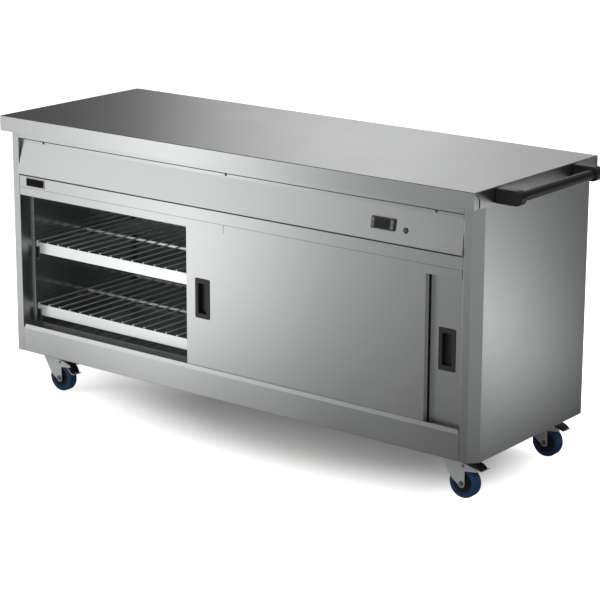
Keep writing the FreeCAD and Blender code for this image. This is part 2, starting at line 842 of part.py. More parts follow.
# ================================================================ push handle
def make_handle_bracket(outer_face, inward):
    """Moulded bracket: flat root on the worktop's end, round head for the tube."""
    half = handle_bracket_height / 2
    inner_face = outer_face + inward * handle_bracket_thickness
    y0, y1 = min(outer_face, inner_face), max(outer_face, inner_face)
    arm = box(x_right, handle_axis_x, y0, y1, handle_axis_z - half, handle_axis_z + half)
    head = cylinder(half, Vector(handle_axis_x, y0, handle_axis_z),
                    Vector(handle_axis_x, y1, handle_axis_z))
    bracket = arm.fuse(head).removeSplitter()
    outer_edges = [edge for edge in bracket.Edges
                   if all(abs(vertex.Y - outer_face) < 0.001 for vertex in edge.Vertexes)
                   and any(vertex.X > x_right + 0.001 for vertex in edge.Vertexes)]
    bracket = bracket.makeChamfer(handle_edge_bevel, outer_edges)
    collar_end = inner_face + inward * handle_collar_width
    collar = cylinder(handle_collar_diameter / 2, Vector(handle_axis_x, inner_face, handle_axis_z),
                      Vector(handle_axis_x, collar_end, handle_axis_z))
    bracket = bracket.fuse(collar)
    socket_radius = handle_tube_diameter / 2 + handle_socket_fit
    socket_start = collar_end - inward * handle_socket_depth
    socket = cylinder(socket_radius, Vector(handle_axis_x, socket_start, handle_axis_z),
                      Vector(handle_axis_x, collar_end + inward, handle_axis_z))
    return bracket.cut(socket)


def handle_faces():
    """Outer faces of the front and rear brackets."""
    return body_front + handle_end_inset, body_rear - handle_end_inset


def make_handle_tube():
    """Hollow grip tube seated in both brackets."""
    front, rear = handle_faces()
    inset = handle_bracket_thickness + handle_collar_width - handle_socket_depth
    start = Vector(handle_axis_x, front + inset, handle_axis_z)
    end = Vector(handle_axis_x, rear - inset, handle_axis_z)
    outside = cylinder(handle_tube_diameter / 2, start, end)
    return outside.cut(cylinder(handle_tube_diameter / 2 - handle_tube_wall, start, end))


# ================================================================ sliding doors
def make_door(left, front, pull_left):
    """Door pan with back lips, the pull's cut-out and two roller hangers with pins."""
    back = front + door_thickness
    skin = door_skin
    door = box(left, left + door_width, front, back, door_bottom_height, door_top_height)
    cavity = box(left + skin, left + door_width - skin, front + skin, back - skin,
                 door_bottom_height + skin, door_top_height - skin)
    lip = door_back_lip
    window = box(left + lip, left + door_width - lip, back - 2 * skin, back + skin,
                 door_bottom_height + lip, door_top_height - lip)
    door = door.cut(cavity).cut(window)
    cup_x = (pull_width - recess_width) / 2 - pull_wall - pull_fit
    cup_z = (pull_height - recess_height) / 2 - pull_wall - pull_fit
    cutout = box(pull_left + cup_x, pull_left + pull_width - cup_x, front - skin,
                 front + 2 * skin, pull_bottom_height + cup_z,
                 pull_bottom_height + pull_height - cup_z)
    door = door.cut(cutout)
    for x in hanger_places(left):
        door = door.fuse(hanger(x, front))
    return door.removeSplitter()


def hanger_places(left):
    """X of the two roller axles of a door."""
    return [left + hanger_inset, left + door_width - hanger_inset]


def hanger(x, front):
    """Plate standing on the door's top with the roller pin."""
    y0 = front + hanger_setback
    y1 = y0 + hanger_thickness
    half = hanger_width / 2
    top = roller_axis_height + hanger_width / 4
    outline = [(x - half, door_top_height - door_skin / 2), (x + half, door_top_height - door_skin / 2),
               (x + half, door_top_height + 8.0), (x + half / 2, top), (x - half / 2, top),
               (x - half, door_top_height + 8.0)]
    plate = extrude_y(outline, y0, y1)
    pin_end = roller_front(front) + roller_width + 0.4
    pin = cylinder(pin_diameter / 2, Vector(x, y0, roller_axis_height),
                   Vector(x, pin_end, roller_axis_height))
    return plate.fuse(pin)


def roller_front(front):
    """Front face of a roller on the door whose front is given."""
    return (front + hanger_setback + hanger_thickness + track_hanger_gap
            + track_lip_width + roller_lip_gap)


def make_roller(x, front):
    """Plain nylon roller on its hanger pin."""
    y0 = roller_front(front)
    y1 = y0 + roller_width
    radius = roller_diameter / 2
    bore = pin_diameter / 2 + shaft_clearance
    return revolved_y([(bore, y0), (radius, y0), (radius, y1), (bore, y1)], x,
                      roller_axis_height)


def make_pull(pull_left, front):
    """Flush pull: thin frame on the door skin around a rectangular finger cup."""
    face = front - pull_proud
    x1 = pull_left + pull_width
    z0, z1 = pull_bottom_height, pull_bottom_height + pull_height
    frame = box(pull_left, x1, face, front, z0, z1)
    corners = [edge for edge in frame.Edges
               if abs(edge.Vertexes[0].Y - edge.Vertexes[1].Y) > pull_proud / 2]
    frame = frame.makeFillet(4.0, corners)
    side = (pull_width - recess_width) / 2
    end = (pull_height - recess_height) / 2
    cup = box(pull_left + side - pull_wall, x1 - side + pull_wall, front - pull_proud / 2,
              front + recess_depth + pull_wall, z0 + end - pull_wall, z1 - end + pull_wall)
    hollow = box(pull_left + side, x1 - side, face - 1, front + recess_depth,
                 z0 + end, z1 - end)
    return frame.fuse(cup).cut(hollow).removeSplitter()


# ================================================================ castors
def make_castor_plate(x, y):
    """Fixed top plate with the upper race, the kingpin and its nut of one castor."""
    half_x, half_y = castor_plate_length / 2, castor_plate_width / 2
    plate_bottom = castor_height - castor_plate_thickness
    plate = box(x - half_x, x + half_x, y - half_y, y + half_y, plate_bottom, castor_height)
    race_bottom = plate_bottom - race_depth
    head_top = crown_top_height() - crown_thickness - running_gap
    race, pin = race_diameter / 2, kingpin_diameter / 2
    outline = [(0, plate_bottom), (0.8 * race, plate_bottom), (race, race_bottom),
               (pin, race_bottom), (pin, head_top), (0, head_top)]
    nut = extrude_z(polygon(x, y, kingpin_nut_width / 2, 6), head_top - kingpin_nut_depth, head_top)
    return plate.fuse([revolved_z(outline, x, y), nut]).removeSplitter()


def crown_top_height():
    """Top of the fork's crown, just under the race."""
    return castor_height - castor_plate_thickness - race_depth - running_gap


def make_fork(x, y):
    """Stamped fork: crown, two tapering cheeks with ears, axle bolt and pedal pin."""
    axle_x = x + castor_trail
    top = crown_top_height()
    under = top - crown_thickness
    outer = fork_half_width + fork_sheet
    back, shoulder = axle_x - fork_back_reach, axle_x - fork_edge_ahead
    outline = [(back, y - outer), (shoulder, y - outer), (x + crown_nose, y - outer / 2),
               (x + crown_nose, y + outer / 2), (shoulder, y + outer), (back, y + outer)]
    fork = extrude_z(outline, under, top)
    for y0 in (y - outer, y + fork_half_width):
        fork = fork.fuse(fork_cheek(axle_x, top, y0, y0 + fork_sheet))
    hole = cylinder(kingpin_diameter / 2 + 2 * shaft_clearance, Vector(x, y, under - 1),
                    Vector(x, y, top + 1))
    fork = fork.cut(hole)
    fork = fork.fuse(cross_pin(axle_diameter / 2, axle_x, y, wheel_radius, fork_half_width))
    nut = polygon(axle_x, wheel_radius, axle_nut_width / 2, 6)
    for face in (y - outer - axle_nut_depth, y + outer):
        fork = fork.fuse(extrude_y(nut, face, face + axle_nut_depth))
    pivot_x, pivot_z = pedal_pivot(x)
    fork = fork.fuse(cross_pin(pedal_pin_diameter / 2, pivot_x, y, pivot_z, fork_half_width))
    return fork.removeSplitter()


def cross_pin(radius, x, y, z, reach):
    """Pin across the fork, equally far to both sides of its middle."""
    return cylinder(radius, Vector(x, y - reach, z), Vector(x, y + reach, z))


def cheek_outline(rise):
    """Cheek as (ahead of the axle, above it) points: front edge, ear, crown, sloping back."""
    ear, back = ear_reach, fork_back_reach
    return [(fork_edge_ahead, 0.58 * rise), (0.91 * ear, 0.66 * rise), (ear, 0.71 * rise),
            (0.81 * ear, 0.79 * rise), (0.45 * ear, 0.88 * rise), (0.16 * ear, 0.92 * rise),
            (-fork_edge_ahead, rise), (-back, rise), (-0.97 * back, 0.91 * rise),
            (-0.59 * back, 0.29 * rise), (-0.39 * back, 0.08 * rise)]


def fork_cheek(axle_x, top, y0, y1):
    """Side plate of the fork, rounded under the axle, with the ear that guards the pedal."""
    z = wheel_radius
    radius = fork_end_radius
    front = math.acos(fork_edge_ahead / radius)
    ends = [(radius * math.cos(angle), radius * math.sin(angle))
            for angle in (math.radians(205), math.radians(262), -front)]
    outline = [ends[2]] + cheek_outline(top - z) + [ends[0]]
    corners = [Vector(axle_x + ahead, y0, z + above) for ahead, above in outline]
    edges = [Part.LineSegment(a, b).toShape() for a, b in zip(corners, corners[1:])]
    lowest = Vector(axle_x + ends[1][0], y0, z + ends[1][1])
    edges.append(Part.Arc(corners[-1], lowest, corners[0]).toShape())
    return Part.Face(Part.Wire(edges)).extrude(Vector(0, y1 - y0, 0))


def make_hub(x, y):
    """Moulded wheel hub: solid disc with a longer boss that runs on the axle."""
    half = hub_width / 2
    boss_half = fork_half_width - boss_fork_gap
    rim, boss = hub_diameter / 2, hub_boss_diameter / 2
    bore = axle_diameter / 2 + shaft_clearance
    outline = [(bore, y - boss_half), (boss, y - boss_half), (boss, y - half), (rim, y - half),
               (rim, y + half), (boss, y + half), (boss, y + boss_half), (bore, y + boss_half)]
    return revolved_y(outline, x + castor_trail, wheel_radius)


def make_tyre(x, y):
    """Elastic tyre with bevelled shoulders around the hub."""
    half = tyre_width / 2
    inner, outer = hub_diameter / 2, wheel_radius
    tread, flank = half - tyre_shoulder, outer - tyre_shoulder
    outline = [(inner, y - half), (flank, y - half), (outer, y - tread), (outer, y + tread),
               (flank, y + half), (inner, y + half)]
    return revolved_y(outline, x + castor_trail, wheel_radius)


def pedal_pivot(x):
    """X and Z of the pedal's pin on the castor whose swivel axis is at x."""
    return x + castor_trail + pedal_pivot_ahead, wheel_radius + pedal_pivot_rise


def make_pedal(x, y, pressed):
    """Brake pedal: cranked lever plate on a knuckle under a humped pad; pressed when braked."""
    pivot_x, pivot_z = pedal_pivot(x)
    half = fork_half_width - pedal_side_gap
    bore = pedal_pin_diameter / 2 + shaft_clearance
    reach, knee, tip = pedal_reach, 0.6 * pedal_reach, pedal_reach + pedal_lip
    under = [(0, -0.75 * pedal_plate), (knee, -pedal_plate),
             (reach, -pedal_plate - 0.65 * pedal_lip), (tip, -pedal_plate - 0.15 * pedal_lip)]
    plate = under + offset_line(under, pedal_plate)[::-1]
    hump = pedal_pad_height
    pad = [(0.2 * reach, -0.5 * pedal_plate), (knee, -0.5 * pedal_plate),
           (reach, -0.7 * hump), (reach, -0.3 * hump), (0.79 * reach, 0.55 * hump),
           (0.54 * reach, 0.95 * hump), (0.25 * reach, 0.72 * hump)]
    pedal = cylinder(bore + pedal_knuckle_wall, Vector(0, -half, 0), Vector(0, half, 0))
    pedal = pedal.fuse([extrude_y(plate, -half, half), extrude_y(pad, -half, half)])
    pedal = pedal.cut(cylinder(bore, Vector(0, -half - 1, 0), Vector(0, half + 1, 0)))
    pedal = pedal.removeSplitter()
    if pressed:
        pedal.rotate(Vector(0, 0, 0), Vector(0, 1, 0), pedal_press_angle)
    pedal.translate(Vector(pivot_x, y, pivot_z))
    return pedal


# ================================================================ the whole trolley
def casing_parts():
    """Worktop, panels, rails and tracks."""
    end_panel = make_end_panel()
    return {
        "worktop": make_worktop(),
        "end_panel_left": end_panel,
        "end_panel_right": mirrored(end_panel),
        "back_panel": make_back_panel(),
        "base_pan": make_base_pan(),
        "header_rail": make_header_rail(),
        "fascia": make_fascia(),
        "fascia_screws": make_fascia_screws(),
        "top_rail": make_top_rail(),
        "track_covers": make_track_covers(),
        "front_skirt": make_front_skirt(),
        "top_track": make_top_track(),
        "bottom_track": make_bottom_track(),
        "cable_gland": make_cable_gland(),
    }


def compartment_parts():
    """Liner, shelf frames, shelves and heater."""
    liner_end = make_liner_end()
    parts = {
        "liner_ends": Part.makeCompound([liner_end, mirrored(liner_end)]),
        "liner_back": make_liner_back(),
        "liner_ceiling": make_liner_ceiling(),
        "liner_floor": make_liner_floor(),
        "shelf_supports": make_shelf_supports(),
        "heating_element": make_heating_element(),
    }
    for level in shelf_levels:
        shelf = make_shelf(level)
        parts[f"shelf_{level}_left"] = shelf
        parts[f"shelf_{level}_right"] = mirrored(shelf)
    return parts


def control_parts():
    """Controller, its keys and the pilot lamp."""
    parts = {
        "controller_case": make_controller_case(),
        "controller_window": make_controller_window(),
        "indicator_lamp": make_indicator_lamp(),
    }
    names = ("key_left_lower", "key_left_upper", "key_right_lower", "key_right_upper")
    for name, (x, z) in zip(names, key_places()):
        parts[name] = make_key(x, z)
    return parts


def handle_parts():
    """Push handle at the right end."""
    front, rear = handle_faces()
    return {
        "handle_bracket_front": make_handle_bracket(front, 1),
        "handle_bracket_rear": make_handle_bracket(rear, -1),
        "handle_tube": make_handle_tube(),
    }


def door_parts():
    """Both doors with their pulls and rollers."""
    outer_pull = outer_door_left + pull_edge_offset
    inner_pull = inner_door_left + door_width - pull_edge_offset - pull_width
    parts = {}
    for name, left, front, pull in (("outer", outer_door_left, outer_door_front, outer_pull),
                                    ("inner", inner_door_left, inner_door_front, inner_pull)):
        parts[f"door_{name}_panel"] = make_door(left, front, pull)
        parts[f"door_{name}_pull"] = make_pull(pull, front)
        for side, x in zip(("left", "right"), hanger_places(left)):
            parts[f"roller_{name}_{side}"] = make_roller(x, front)
    return parts


def castor_parts():
    """Four swivel castors with their brakes."""
    plates = [make_castor_plate(x, y) for x, y in castor_places.values()]
    parts = {"castor_plates": Part.makeCompound(plates)}
    for corner, (x, y) in castor_places.items():
        parts[f"castor_fork_{corner}"] = make_fork(x, y)
        parts[f"wheel_hub_{corner}"] = make_hub(x, y)
        parts[f"wheel_tyre_{corner}"] = make_tyre(x, y)
        parts[f"brake_pedal_{corner}"] = make_pedal(x, y, corner == braked_castor)
    return parts


def main():
    """Build every piece and write one STEP file each."""
    os.makedirs("parts", exist_ok=True)
    groups = (casing_parts, compartment_parts, control_parts, handle_parts, door_parts,
              castor_parts)
    for group in groups:
        for name, shape in group().items():
            shape.exportStep(f"parts/{name}.step")


main()
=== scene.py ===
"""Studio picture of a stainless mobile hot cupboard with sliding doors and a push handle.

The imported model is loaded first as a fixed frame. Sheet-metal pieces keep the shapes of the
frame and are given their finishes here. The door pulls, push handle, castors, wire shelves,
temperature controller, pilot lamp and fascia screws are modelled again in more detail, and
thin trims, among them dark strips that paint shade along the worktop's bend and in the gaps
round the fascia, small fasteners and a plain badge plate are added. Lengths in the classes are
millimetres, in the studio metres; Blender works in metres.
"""
import logging
import math
from collections.abc import Callable, Iterable, Sequence
from dataclasses import dataclass, field
from enum import Enum
from typing import Any

import bmesh
import bpy
from mathutils import Matrix, Vector


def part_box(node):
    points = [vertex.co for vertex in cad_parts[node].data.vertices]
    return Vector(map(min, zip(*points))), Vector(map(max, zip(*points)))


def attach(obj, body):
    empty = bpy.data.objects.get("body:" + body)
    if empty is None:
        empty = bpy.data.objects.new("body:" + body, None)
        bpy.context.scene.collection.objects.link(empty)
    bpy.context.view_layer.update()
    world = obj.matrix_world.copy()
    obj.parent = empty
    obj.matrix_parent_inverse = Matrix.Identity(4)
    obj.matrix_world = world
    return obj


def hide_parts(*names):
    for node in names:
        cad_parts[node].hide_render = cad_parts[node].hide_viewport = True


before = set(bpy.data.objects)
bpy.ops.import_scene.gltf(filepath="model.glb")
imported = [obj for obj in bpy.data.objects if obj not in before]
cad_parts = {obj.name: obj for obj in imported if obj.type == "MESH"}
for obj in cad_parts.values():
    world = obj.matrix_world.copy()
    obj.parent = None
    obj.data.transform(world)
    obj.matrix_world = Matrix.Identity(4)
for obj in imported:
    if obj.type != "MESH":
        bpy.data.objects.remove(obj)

LOG = logging.getLogger("hot_cupboard")
MM = 0.001
SMOOTH_BELOW = 38.0
Point = tuple[float, float, float]
Flat = tuple[float, float]
# Upwards, tipped a trace backwards so that a level face still has a direction across it.
UPWARDS: Point = (0.0, 0.02, 1.0)


class Domain(Enum):
    """What an edit-mode selection picks."""

    EDGE = "EDGE"
    FACE = "FACE"


class Plane(Enum):
    """Plane in which a flat outline is drawn; the third axis is where it stands."""

    XY = (0, 1, 2)
    XZ = (0, 2, 1)
    YZ = (1, 2, 0)


class Grain(Enum):
    """Direction of the polishing lines on a sheet, as stretch of the noise along X, Y and Z."""

    ALONG_X = (2.0, 420.0, 420.0)
    ALONG_Y = (420.0, 2.0, 420.0)


class Corner(Enum):
    """The four castors, by the corner they stand at."""

    FRONT_LEFT = "front_left"
    FRONT_RIGHT = "front_right"
    REAR_LEFT = "rear_left"
    REAR_RIGHT = "rear_right"


# ------------------------------------------------------------------ modelling bench
def clear_selection() -> None:
    """Leave nothing selected, the frame's own nodes included."""
    bpy.ops.object.select_all(action="DESELECT")


def claim(name: str) -> bpy.types.Object:
    """Name the object that an operator has just made.

    Args:
        name: Name of the piece.

    Returns:
        The active object, renamed.
    """
    made = bpy.context.view_layer.objects.active
    made.name = made.data.name = name
    return made


def only(piece: bpy.types.Object) -> None:
    """Select one object and make it active.

    Args:
        piece: Object to work on.
    """
    clear_selection()
    piece.select_set(True)
    bpy.context.view_layer.objects.active = piece


def settle(piece: bpy.types.Object) -> bpy.types.Object:
    """Move an object's place, turn and size into its mesh.

    Args:
        piece: Object to settle.

    Returns:
        The same object, at the origin.
    """
    only(piece)
    bpy.ops.object.transform_apply(location=True, rotation=True, scale=True)
    return piece


def block(name: str, low: Sequence[float], high: Sequence[float]) -> bpy.types.Object:
    """Rectangular block between two corners.

    Args:
        name: Name of the piece.
        low: Lowest corner, in millimetres.
        high: Highest corner, in millimetres.

    Returns:
        The block, settled.
    """
    clear_selection()
    centre = [(a + b) / 2 * MM for a, b in zip(low, high)]
    bpy.ops.mesh.primitive_cube_add(size=1, location=centre)
    piece = claim(name)
    piece.scale = [(b - a) * MM for a, b in zip(low, high)]
    return settle(piece)


def outline(name: str, points: Sequence[Flat], plane: Plane, stand: float,
            filled: bool = True) -> bpy.types.Object:
    """Flat outline: a circle primitive whose corners are set out one by one.

    Args:
        name: Name of the piece.
        points: Corners in the plane, in millimetres.
        plane: Plane that the outline lies in.
        stand: Where the plane is along its third axis, in millimetres.
        filled: Whether the outline is a face or only its edges.

    Returns:
        The outline as an object.
    """
    clear_selection()
    fill = "NGON" if filled else "NOTHING"
    bpy.ops.mesh.primitive_circle_add(vertices=len(points), radius=1, fill_type=fill)
    piece = claim(name)
    first, second, third = plane.value
    for vertex, (a, b) in zip(piece.data.vertices, points):
        vertex.co[first], vertex.co[second], vertex.co[third] = a * MM, b * MM, stand * MM
    return piece


def operate(piece: bpy.types.Object, domain: Domain, wanted: Callable[[Any], bool],
            *steps: Callable[[], Any]) -> None:
    """Select parts of a mesh by a test and run edit-mode operators on them.

    Args:
        piece: Object to shape.
        domain: Whether edges or faces are picked.
        wanted: Test on a bmesh edge or face.
        steps: Operators to run, in order.
    """
    only(piece)
    bpy.ops.object.mode_set(mode="EDIT")
    bpy.ops.mesh.select_mode(type=domain.value)
    bpy.ops.mesh.select_all(action="DESELECT")
    work = bmesh.from_edit_mesh(piece.data)
    for item in (work.edges if domain is Domain.EDGE else work.faces):
        if wanted(item):
            item.select_set(True)
    bmesh.update_edit_mesh(piece.data)
    for step in steps:
        step()
    bpy.ops.object.mode_set(mode="OBJECT")


def outward(piece: bpy.types.Object) -> bpy.types.Object:
    """Merge doubles and turn every face outwards.

    Args:
        piece: Closed mesh object.

    Returns:
        The same object.
    """
    operate(piece, Domain.FACE, lambda face: True,
            lambda: bpy.ops.mesh.remove_doubles(threshold=1e-6),
            lambda: bpy.ops.mesh.normals_make_consistent(inside=False))
    return piece


def prism(name: str, points: Sequence[Flat], plane: Plane, start: float,
          end: float) -> bpy.types.Object:
    """Outline extruded square to its plane.

    Args:
        name: Name of the piece.
        points: Corners in the plane, in millimetres.
        plane: Plane of the outline.
        start: Where the outline stands, in millimetres.
        end: Where the extrusion ends, in millimetres.

    Returns:
        The closed prism.
    """
    piece = outline(name, points, plane, start)
    shift = [0.0, 0.0, 0.0]
    shift[plane.value[2]] = (end - start) * MM
    operate(piece, Domain.FACE, lambda face: True,
            lambda: bpy.ops.mesh.extrude_region_move(TRANSFORM_OT_translate={"value": shift}))
    return outward(piece)


def turned(name: str, points: Sequence[Flat], centre: Sequence[float], along_z: bool = False,
           steps: int = 64) -> bpy.types.Object:
    """Outline of (radius, offset) points spun round an axis along Y, or along Z.

    Args:
        name: Name of the piece.
        points: Radius and offset along the axis, in millimetres, round the section.
        centre: Point on the axis, in millimetres.
        along_z: Whether the axis is upright.
        steps: Number of steps in the full turn.

    Returns:
        The closed solid of revolution.
    """
    x, y, z = centre
    if along_z:
        flat = [(x + radius, z + offset) for radius, offset in points]
        piece = outline(name, flat, Plane.XZ, y, filled=False)
    else:
        flat = [(x + radius, y + offset) for radius, offset in points]
        piece = outline(name, flat, Plane.XY, z, filled=False)
    axis = (0, 0, 1) if along_z else (0, 1, 0)
    pivot = tuple(value * MM for value in centre)
    operate(piece, Domain.EDGE, lambda edge: True,
            lambda: bpy.ops.mesh.spin(steps=steps, angle=2 * math.pi, center=pivot, axis=axis))
    return outward(piece)


def rod(name: str, start: Sequence[float], end: Sequence[float], radius: float,
        sides: int = 32) -> bpy.types.Object:
    """Round bar between two points.

    Args:
        name: Name of the piece.
        start: First end, in millimetres.
        end: Other end, in millimetres.
        radius: Radius, in millimetres.
        sides: Number of sides.

    Returns:
        The bar, settled.
    """
    clear_selection()
    first, last = Vector(start) * MM, Vector(end) * MM
    bpy.ops.mesh.primitive_cylinder_add(vertices=sides, radius=radius * MM,
                                        depth=(last - first).length)
    piece = claim(name)
    turn = (last - first).to_track_quat("Z", "Y").to_matrix().to_4x4()
    piece.matrix_world = Matrix.Translation((first + last) / 2) @ turn
    return settle(piece)


def rounded(piece: bpy.types.Object, width: float, segments: int = 2,
            angle: float = 35.0) -> bpy.types.Object:
    """Round the edges that are sharper than an angle with an applied bevel.

    Args:
        piece: Object to round.
        width: Width of the rounding, in millimetres.
        segments: Number of facets across it.
        angle: Least angle between faces, in degrees.

    Returns:
        The same object.
    """
    only(piece)
    bevel = piece.modifiers.new("rounding", "BEVEL")
    bevel.width, bevel.segments = width * MM, segments
    bevel.limit_method, bevel.angle_limit = "ANGLE", math.radians(angle)
    bevel.use_clamp_overlap = True
    bpy.ops.object.modifier_apply(modifier=bevel.name)
    return piece


def repeated(piece: bpy.types.Object, count: int, step: Sequence[float]) -> bpy.types.Object:
    """Repeat a piece along a line with an applied array.

    Args:
        piece: Object to repeat.
        count: How many there are in all.
        step: Move from one to the next, in millimetres.

    Returns:
        The same object.
    """
    only(piece)
    array = piece.modifiers.new("row", "ARRAY")
    array.count, array.use_relative_offset, array.use_constant_offset = count, False, True
    array.constant_offset_displace = [value * MM for value in step]
    bpy.ops.object.modifier_apply(modifier=array.name)
    return piece


def joined(name: str, pieces: Sequence[bpy.types.Object]) -> bpy.types.Object:
    """Join several meshes into one piece.

    Args:
        name: Name of the whole.
        pieces: Objects to join.

    Returns:
        The joined object.
    """
    clear_selection()
    for piece in pieces:
        piece.select_set(True)
    bpy.context.view_layer.objects.active = pieces[0]
    bpy.ops.object.join()
    return claim(name)


def duplicate(piece: bpy.types.Object, name: str, matrix: Matrix) -> bpy.types.Object:
    """Copy a piece with its own mesh and place the copy.

    Args:
        piece: Object to copy.
        name: Name of the copy.
        matrix: Where it goes; its numbers are in metres.

    Returns:
        The settled copy.
    """
    only(piece)
    bpy.ops.object.duplicate(linked=False)
    copy = claim(name)
    copy.matrix_world = matrix
    return settle(copy)


def removed(piece: bpy.types.Object) -> None:
    """Delete a piece that has served its purpose."""
    only(piece)
    bpy.ops.object.delete()


def cut(piece: bpy.types.Object, tool: bpy.types.Object) -> bpy.types.Object:
    """Take one closed mesh out of another and delete the tool.

    Args:
        piece: Object to cut.
        tool: Shape that is taken away.

    Returns:
        The cut object.
    """
    only(piece)
    difference = piece.modifiers.new("cut", "BOOLEAN")
    difference.object, difference.operation = tool, "DIFFERENCE"
    difference.solver = "EXACT"
    bpy.ops.object.modifier_apply(modifier=difference.name)
    removed(tool)
    return piece


def upright_edge(edge: bmesh.types.BMEdge, axis: int) -> bool:
    """Whether an edge runs along one axis."""
    run = edge.verts[1].co - edge.verts[0].co
    return run.length > 0 and abs(run[axis]) > 0.999 * run.length


def bevel_along(piece: bpy.types.Object, axis: int, width: float,
                segments: int = 4) -> bpy.types.Object:
    """Round only the edges that run along one axis.

    Args:
        piece: Object to round.
        axis: 0, 1 or 2 for X, Y or Z.
        width: Radius of the rounding, in millimetres.
        segments: Number of facets across it.

    Returns:
        The same object.
    """
    operate(piece, Domain.EDGE, lambda edge: upright_edge(edge, axis),
            lambda: bpy.ops.mesh.bevel(offset=width * MM, segments=segments,
                                       affect="EDGES", clamp_overlap=True))
    return piece


def dressed(piece: bpy.types.Object, finish: bpy.types.Material) -> bpy.types.Object:
    """Smooth the flatter edges of a piece and give it its finish.

    Args:
        piece: Object that is ready.
        finish: Its material.

    Returns:
        The same object.
    """
    only(piece)
    bpy.ops.object.shade_smooth_by_angle(angle=math.radians(SMOOTH_BELOW))
    level = piece.modifiers.new("level_faces", "WEIGHTED_NORMAL")
    level.keep_sharp = True
    bpy.ops.object.modifier_apply(modifier=level.name)
    piece.data.materials.clear()
    piece.data.materials.append(finish)
    return piece


def hung(piece: bpy.types.Object, body: str,
         replaces: Iterable[str] = ()) -> bpy.types.Object:
    """Hang a piece on its body.

    Args:
        piece: Dressed piece.
        body: Body of the frame that carries it.
        replaces: Nodes of the frame that it stands for.

    Returns:
        The same object.
    """
    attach(piece, body)
    nodes = list(replaces)
    if nodes:
        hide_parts(*nodes)
    LOG.info("%s on %s, %d faces", piece.name, body, len(piece.data.polygons))
    return piece


def finished(piece: bpy.types.Object, finish: bpy.types.Material, body: str,
             replaces: Iterable[str] = ()) -> bpy.types.Object:
    """Dress a piece and hang it on its body, as `dressed` and `hung` say."""
    return hung(dressed(piece, finish), body, replaces)


@dataclass
class Pattern:
    """Pieces that are modelled once and copied to each of their places.

    The bodies and nodes hold {} where the name of the place goes.
    """

    pieces: list[tuple[bpy.types.Object, str, str, tuple[str, ...]]] = field(default_factory=list)

    def add(self, piece: bpy.types.Object, finish: bpy.types.Material, body: str, slot: str,
            *replaces: str) -> None:
        """Dress a piece and keep it with the way it hangs.

        Args:
            piece: Object that is ready.
            finish: Its material.
            body: Body of the frame, with {} for the place.
            slot: Material slot of the record; not used.
            replaces: Nodes that it stands for, with {} for the place.
        """
        self.pieces.append((dressed(piece, finish), body, slot, replaces))

    def stand(self, place: str, matrix: Matrix) -> None:
        """Copy every piece to a place.

        Args:
            place: Name of the place.
            matrix: Where the copies go; its numbers are in metres.
        """
        for piece, body, slot, nodes in self.pieces:
            copy = duplicate(piece, f"{piece.name}_{place}", matrix)
            hung(copy, body.format(place), [node.format(place) for node in nodes])

    def clear(self) -> None:
        """Delete the patterns themselves."""
        for piece, *_ in self.pieces:
            removed(piece)


def extent(node: str) -> tuple[Vector, Vector]:
    """Lowest and highest corner of a frame node, in millimetres."""
    low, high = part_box(node)
    return low / MM, high / MM


def middle(node: str) -> Vector:
    """Middle of a frame node's box, in millimetres."""
    low, high = extent(node)
    return (low + high) / 2


def shifted(move: Sequence[float]) -> Matrix:
    """Matrix of a move given in millimetres."""
    return Matrix.Translation(Vector(move) * MM)


def arc(radius: float, turns: Iterable[float], centre: Flat = (0.0, 0.0)) -> list[Flat]:
    """Points of an arc in a plane.

    Args:
        radius: Its radius, in millimetres.
        turns: Angle of each point, in degrees.
        centre: Its centre, in millimetres.

    Returns:
        The points, in order.
    """
    angles = [math.radians(turn) for turn in turns]
    return [(centre[0] + radius * math.cos(angle), centre[1] + radius * math.sin(angle))
            for angle in angles]


# ------------------------------------------------------------------ finishes
def linear(colour: str) -> tuple[float, float, float, float]:
    """Turn an sRGB hex colour into linear light.

    Args:
        colour: Colour as "#rrggbb".

    Returns:
        Linear red, green, blue and an alpha of 1.
    """
    parts = [int(colour[index:index + 2], 16) / 255 for index in (1, 3, 5)]
    light = [part / 12.92 if part <= 0.04045 else ((part + 0.055) / 1.055) ** 2.4
             for part in parts]
    return light[0], light[1], light[2], 1.0


def add_node(tree: bpy.types.NodeTree, kind: str, inputs: dict[Any, Any] | None = None,
             **settings: Any) -> bpy.types.Node:
    """Add a shader node with its settings and inputs.

    Args:
        tree: Node tree that it goes in.
        kind: Blender's name of the node, without "ShaderNode".
        inputs: Sources to link and plain values, by input name or number.
        settings: Properties of the node.

    Returns:
        The new node.
    """
    node = tree.nodes.new(f"ShaderNode{kind}")
    for name, setting in settings.items():
        setattr(node, name, setting)
    for key, item in (inputs or {}).items():
        if isinstance(item, bpy.types.NodeSocket):
            tree.links.new(item, node.inputs[key])
        else:
            node.inputs[key].default_value = item
    return node


def maths(tree: bpy.types.NodeTree, operation: str, *inputs: Any) -> bpy.types.NodeSocket:
    """Work on numbers with a node.

    Args:
        tree: Node tree that it goes in.
        operation: Blender's name of the operation.
        inputs: Sources and plain numbers, in the node's order.

    Returns:
        Result socket.
    """
    return add_node(tree, "Math", dict(enumerate(inputs)), operation=operation).outputs[0]


def vectors(tree: bpy.types.NodeTree, operation: str, *inputs: Any) -> bpy.types.NodeSocket:
    """Work on vectors with a node.

    Args:
        tree: Node tree that it goes in.
        operation: Blender's name of the operation.
        inputs: Sources and plain vectors, in the node's order.

    Returns:
        Result socket: a number for a length or a dot product, else a vector.
    """
    node = add_node(tree, "VectorMath", dict(enumerate(inputs)), operation=operation)
    return node.outputs["Value" if operation in ("LENGTH", "DOT_PRODUCT") else "Vector"]


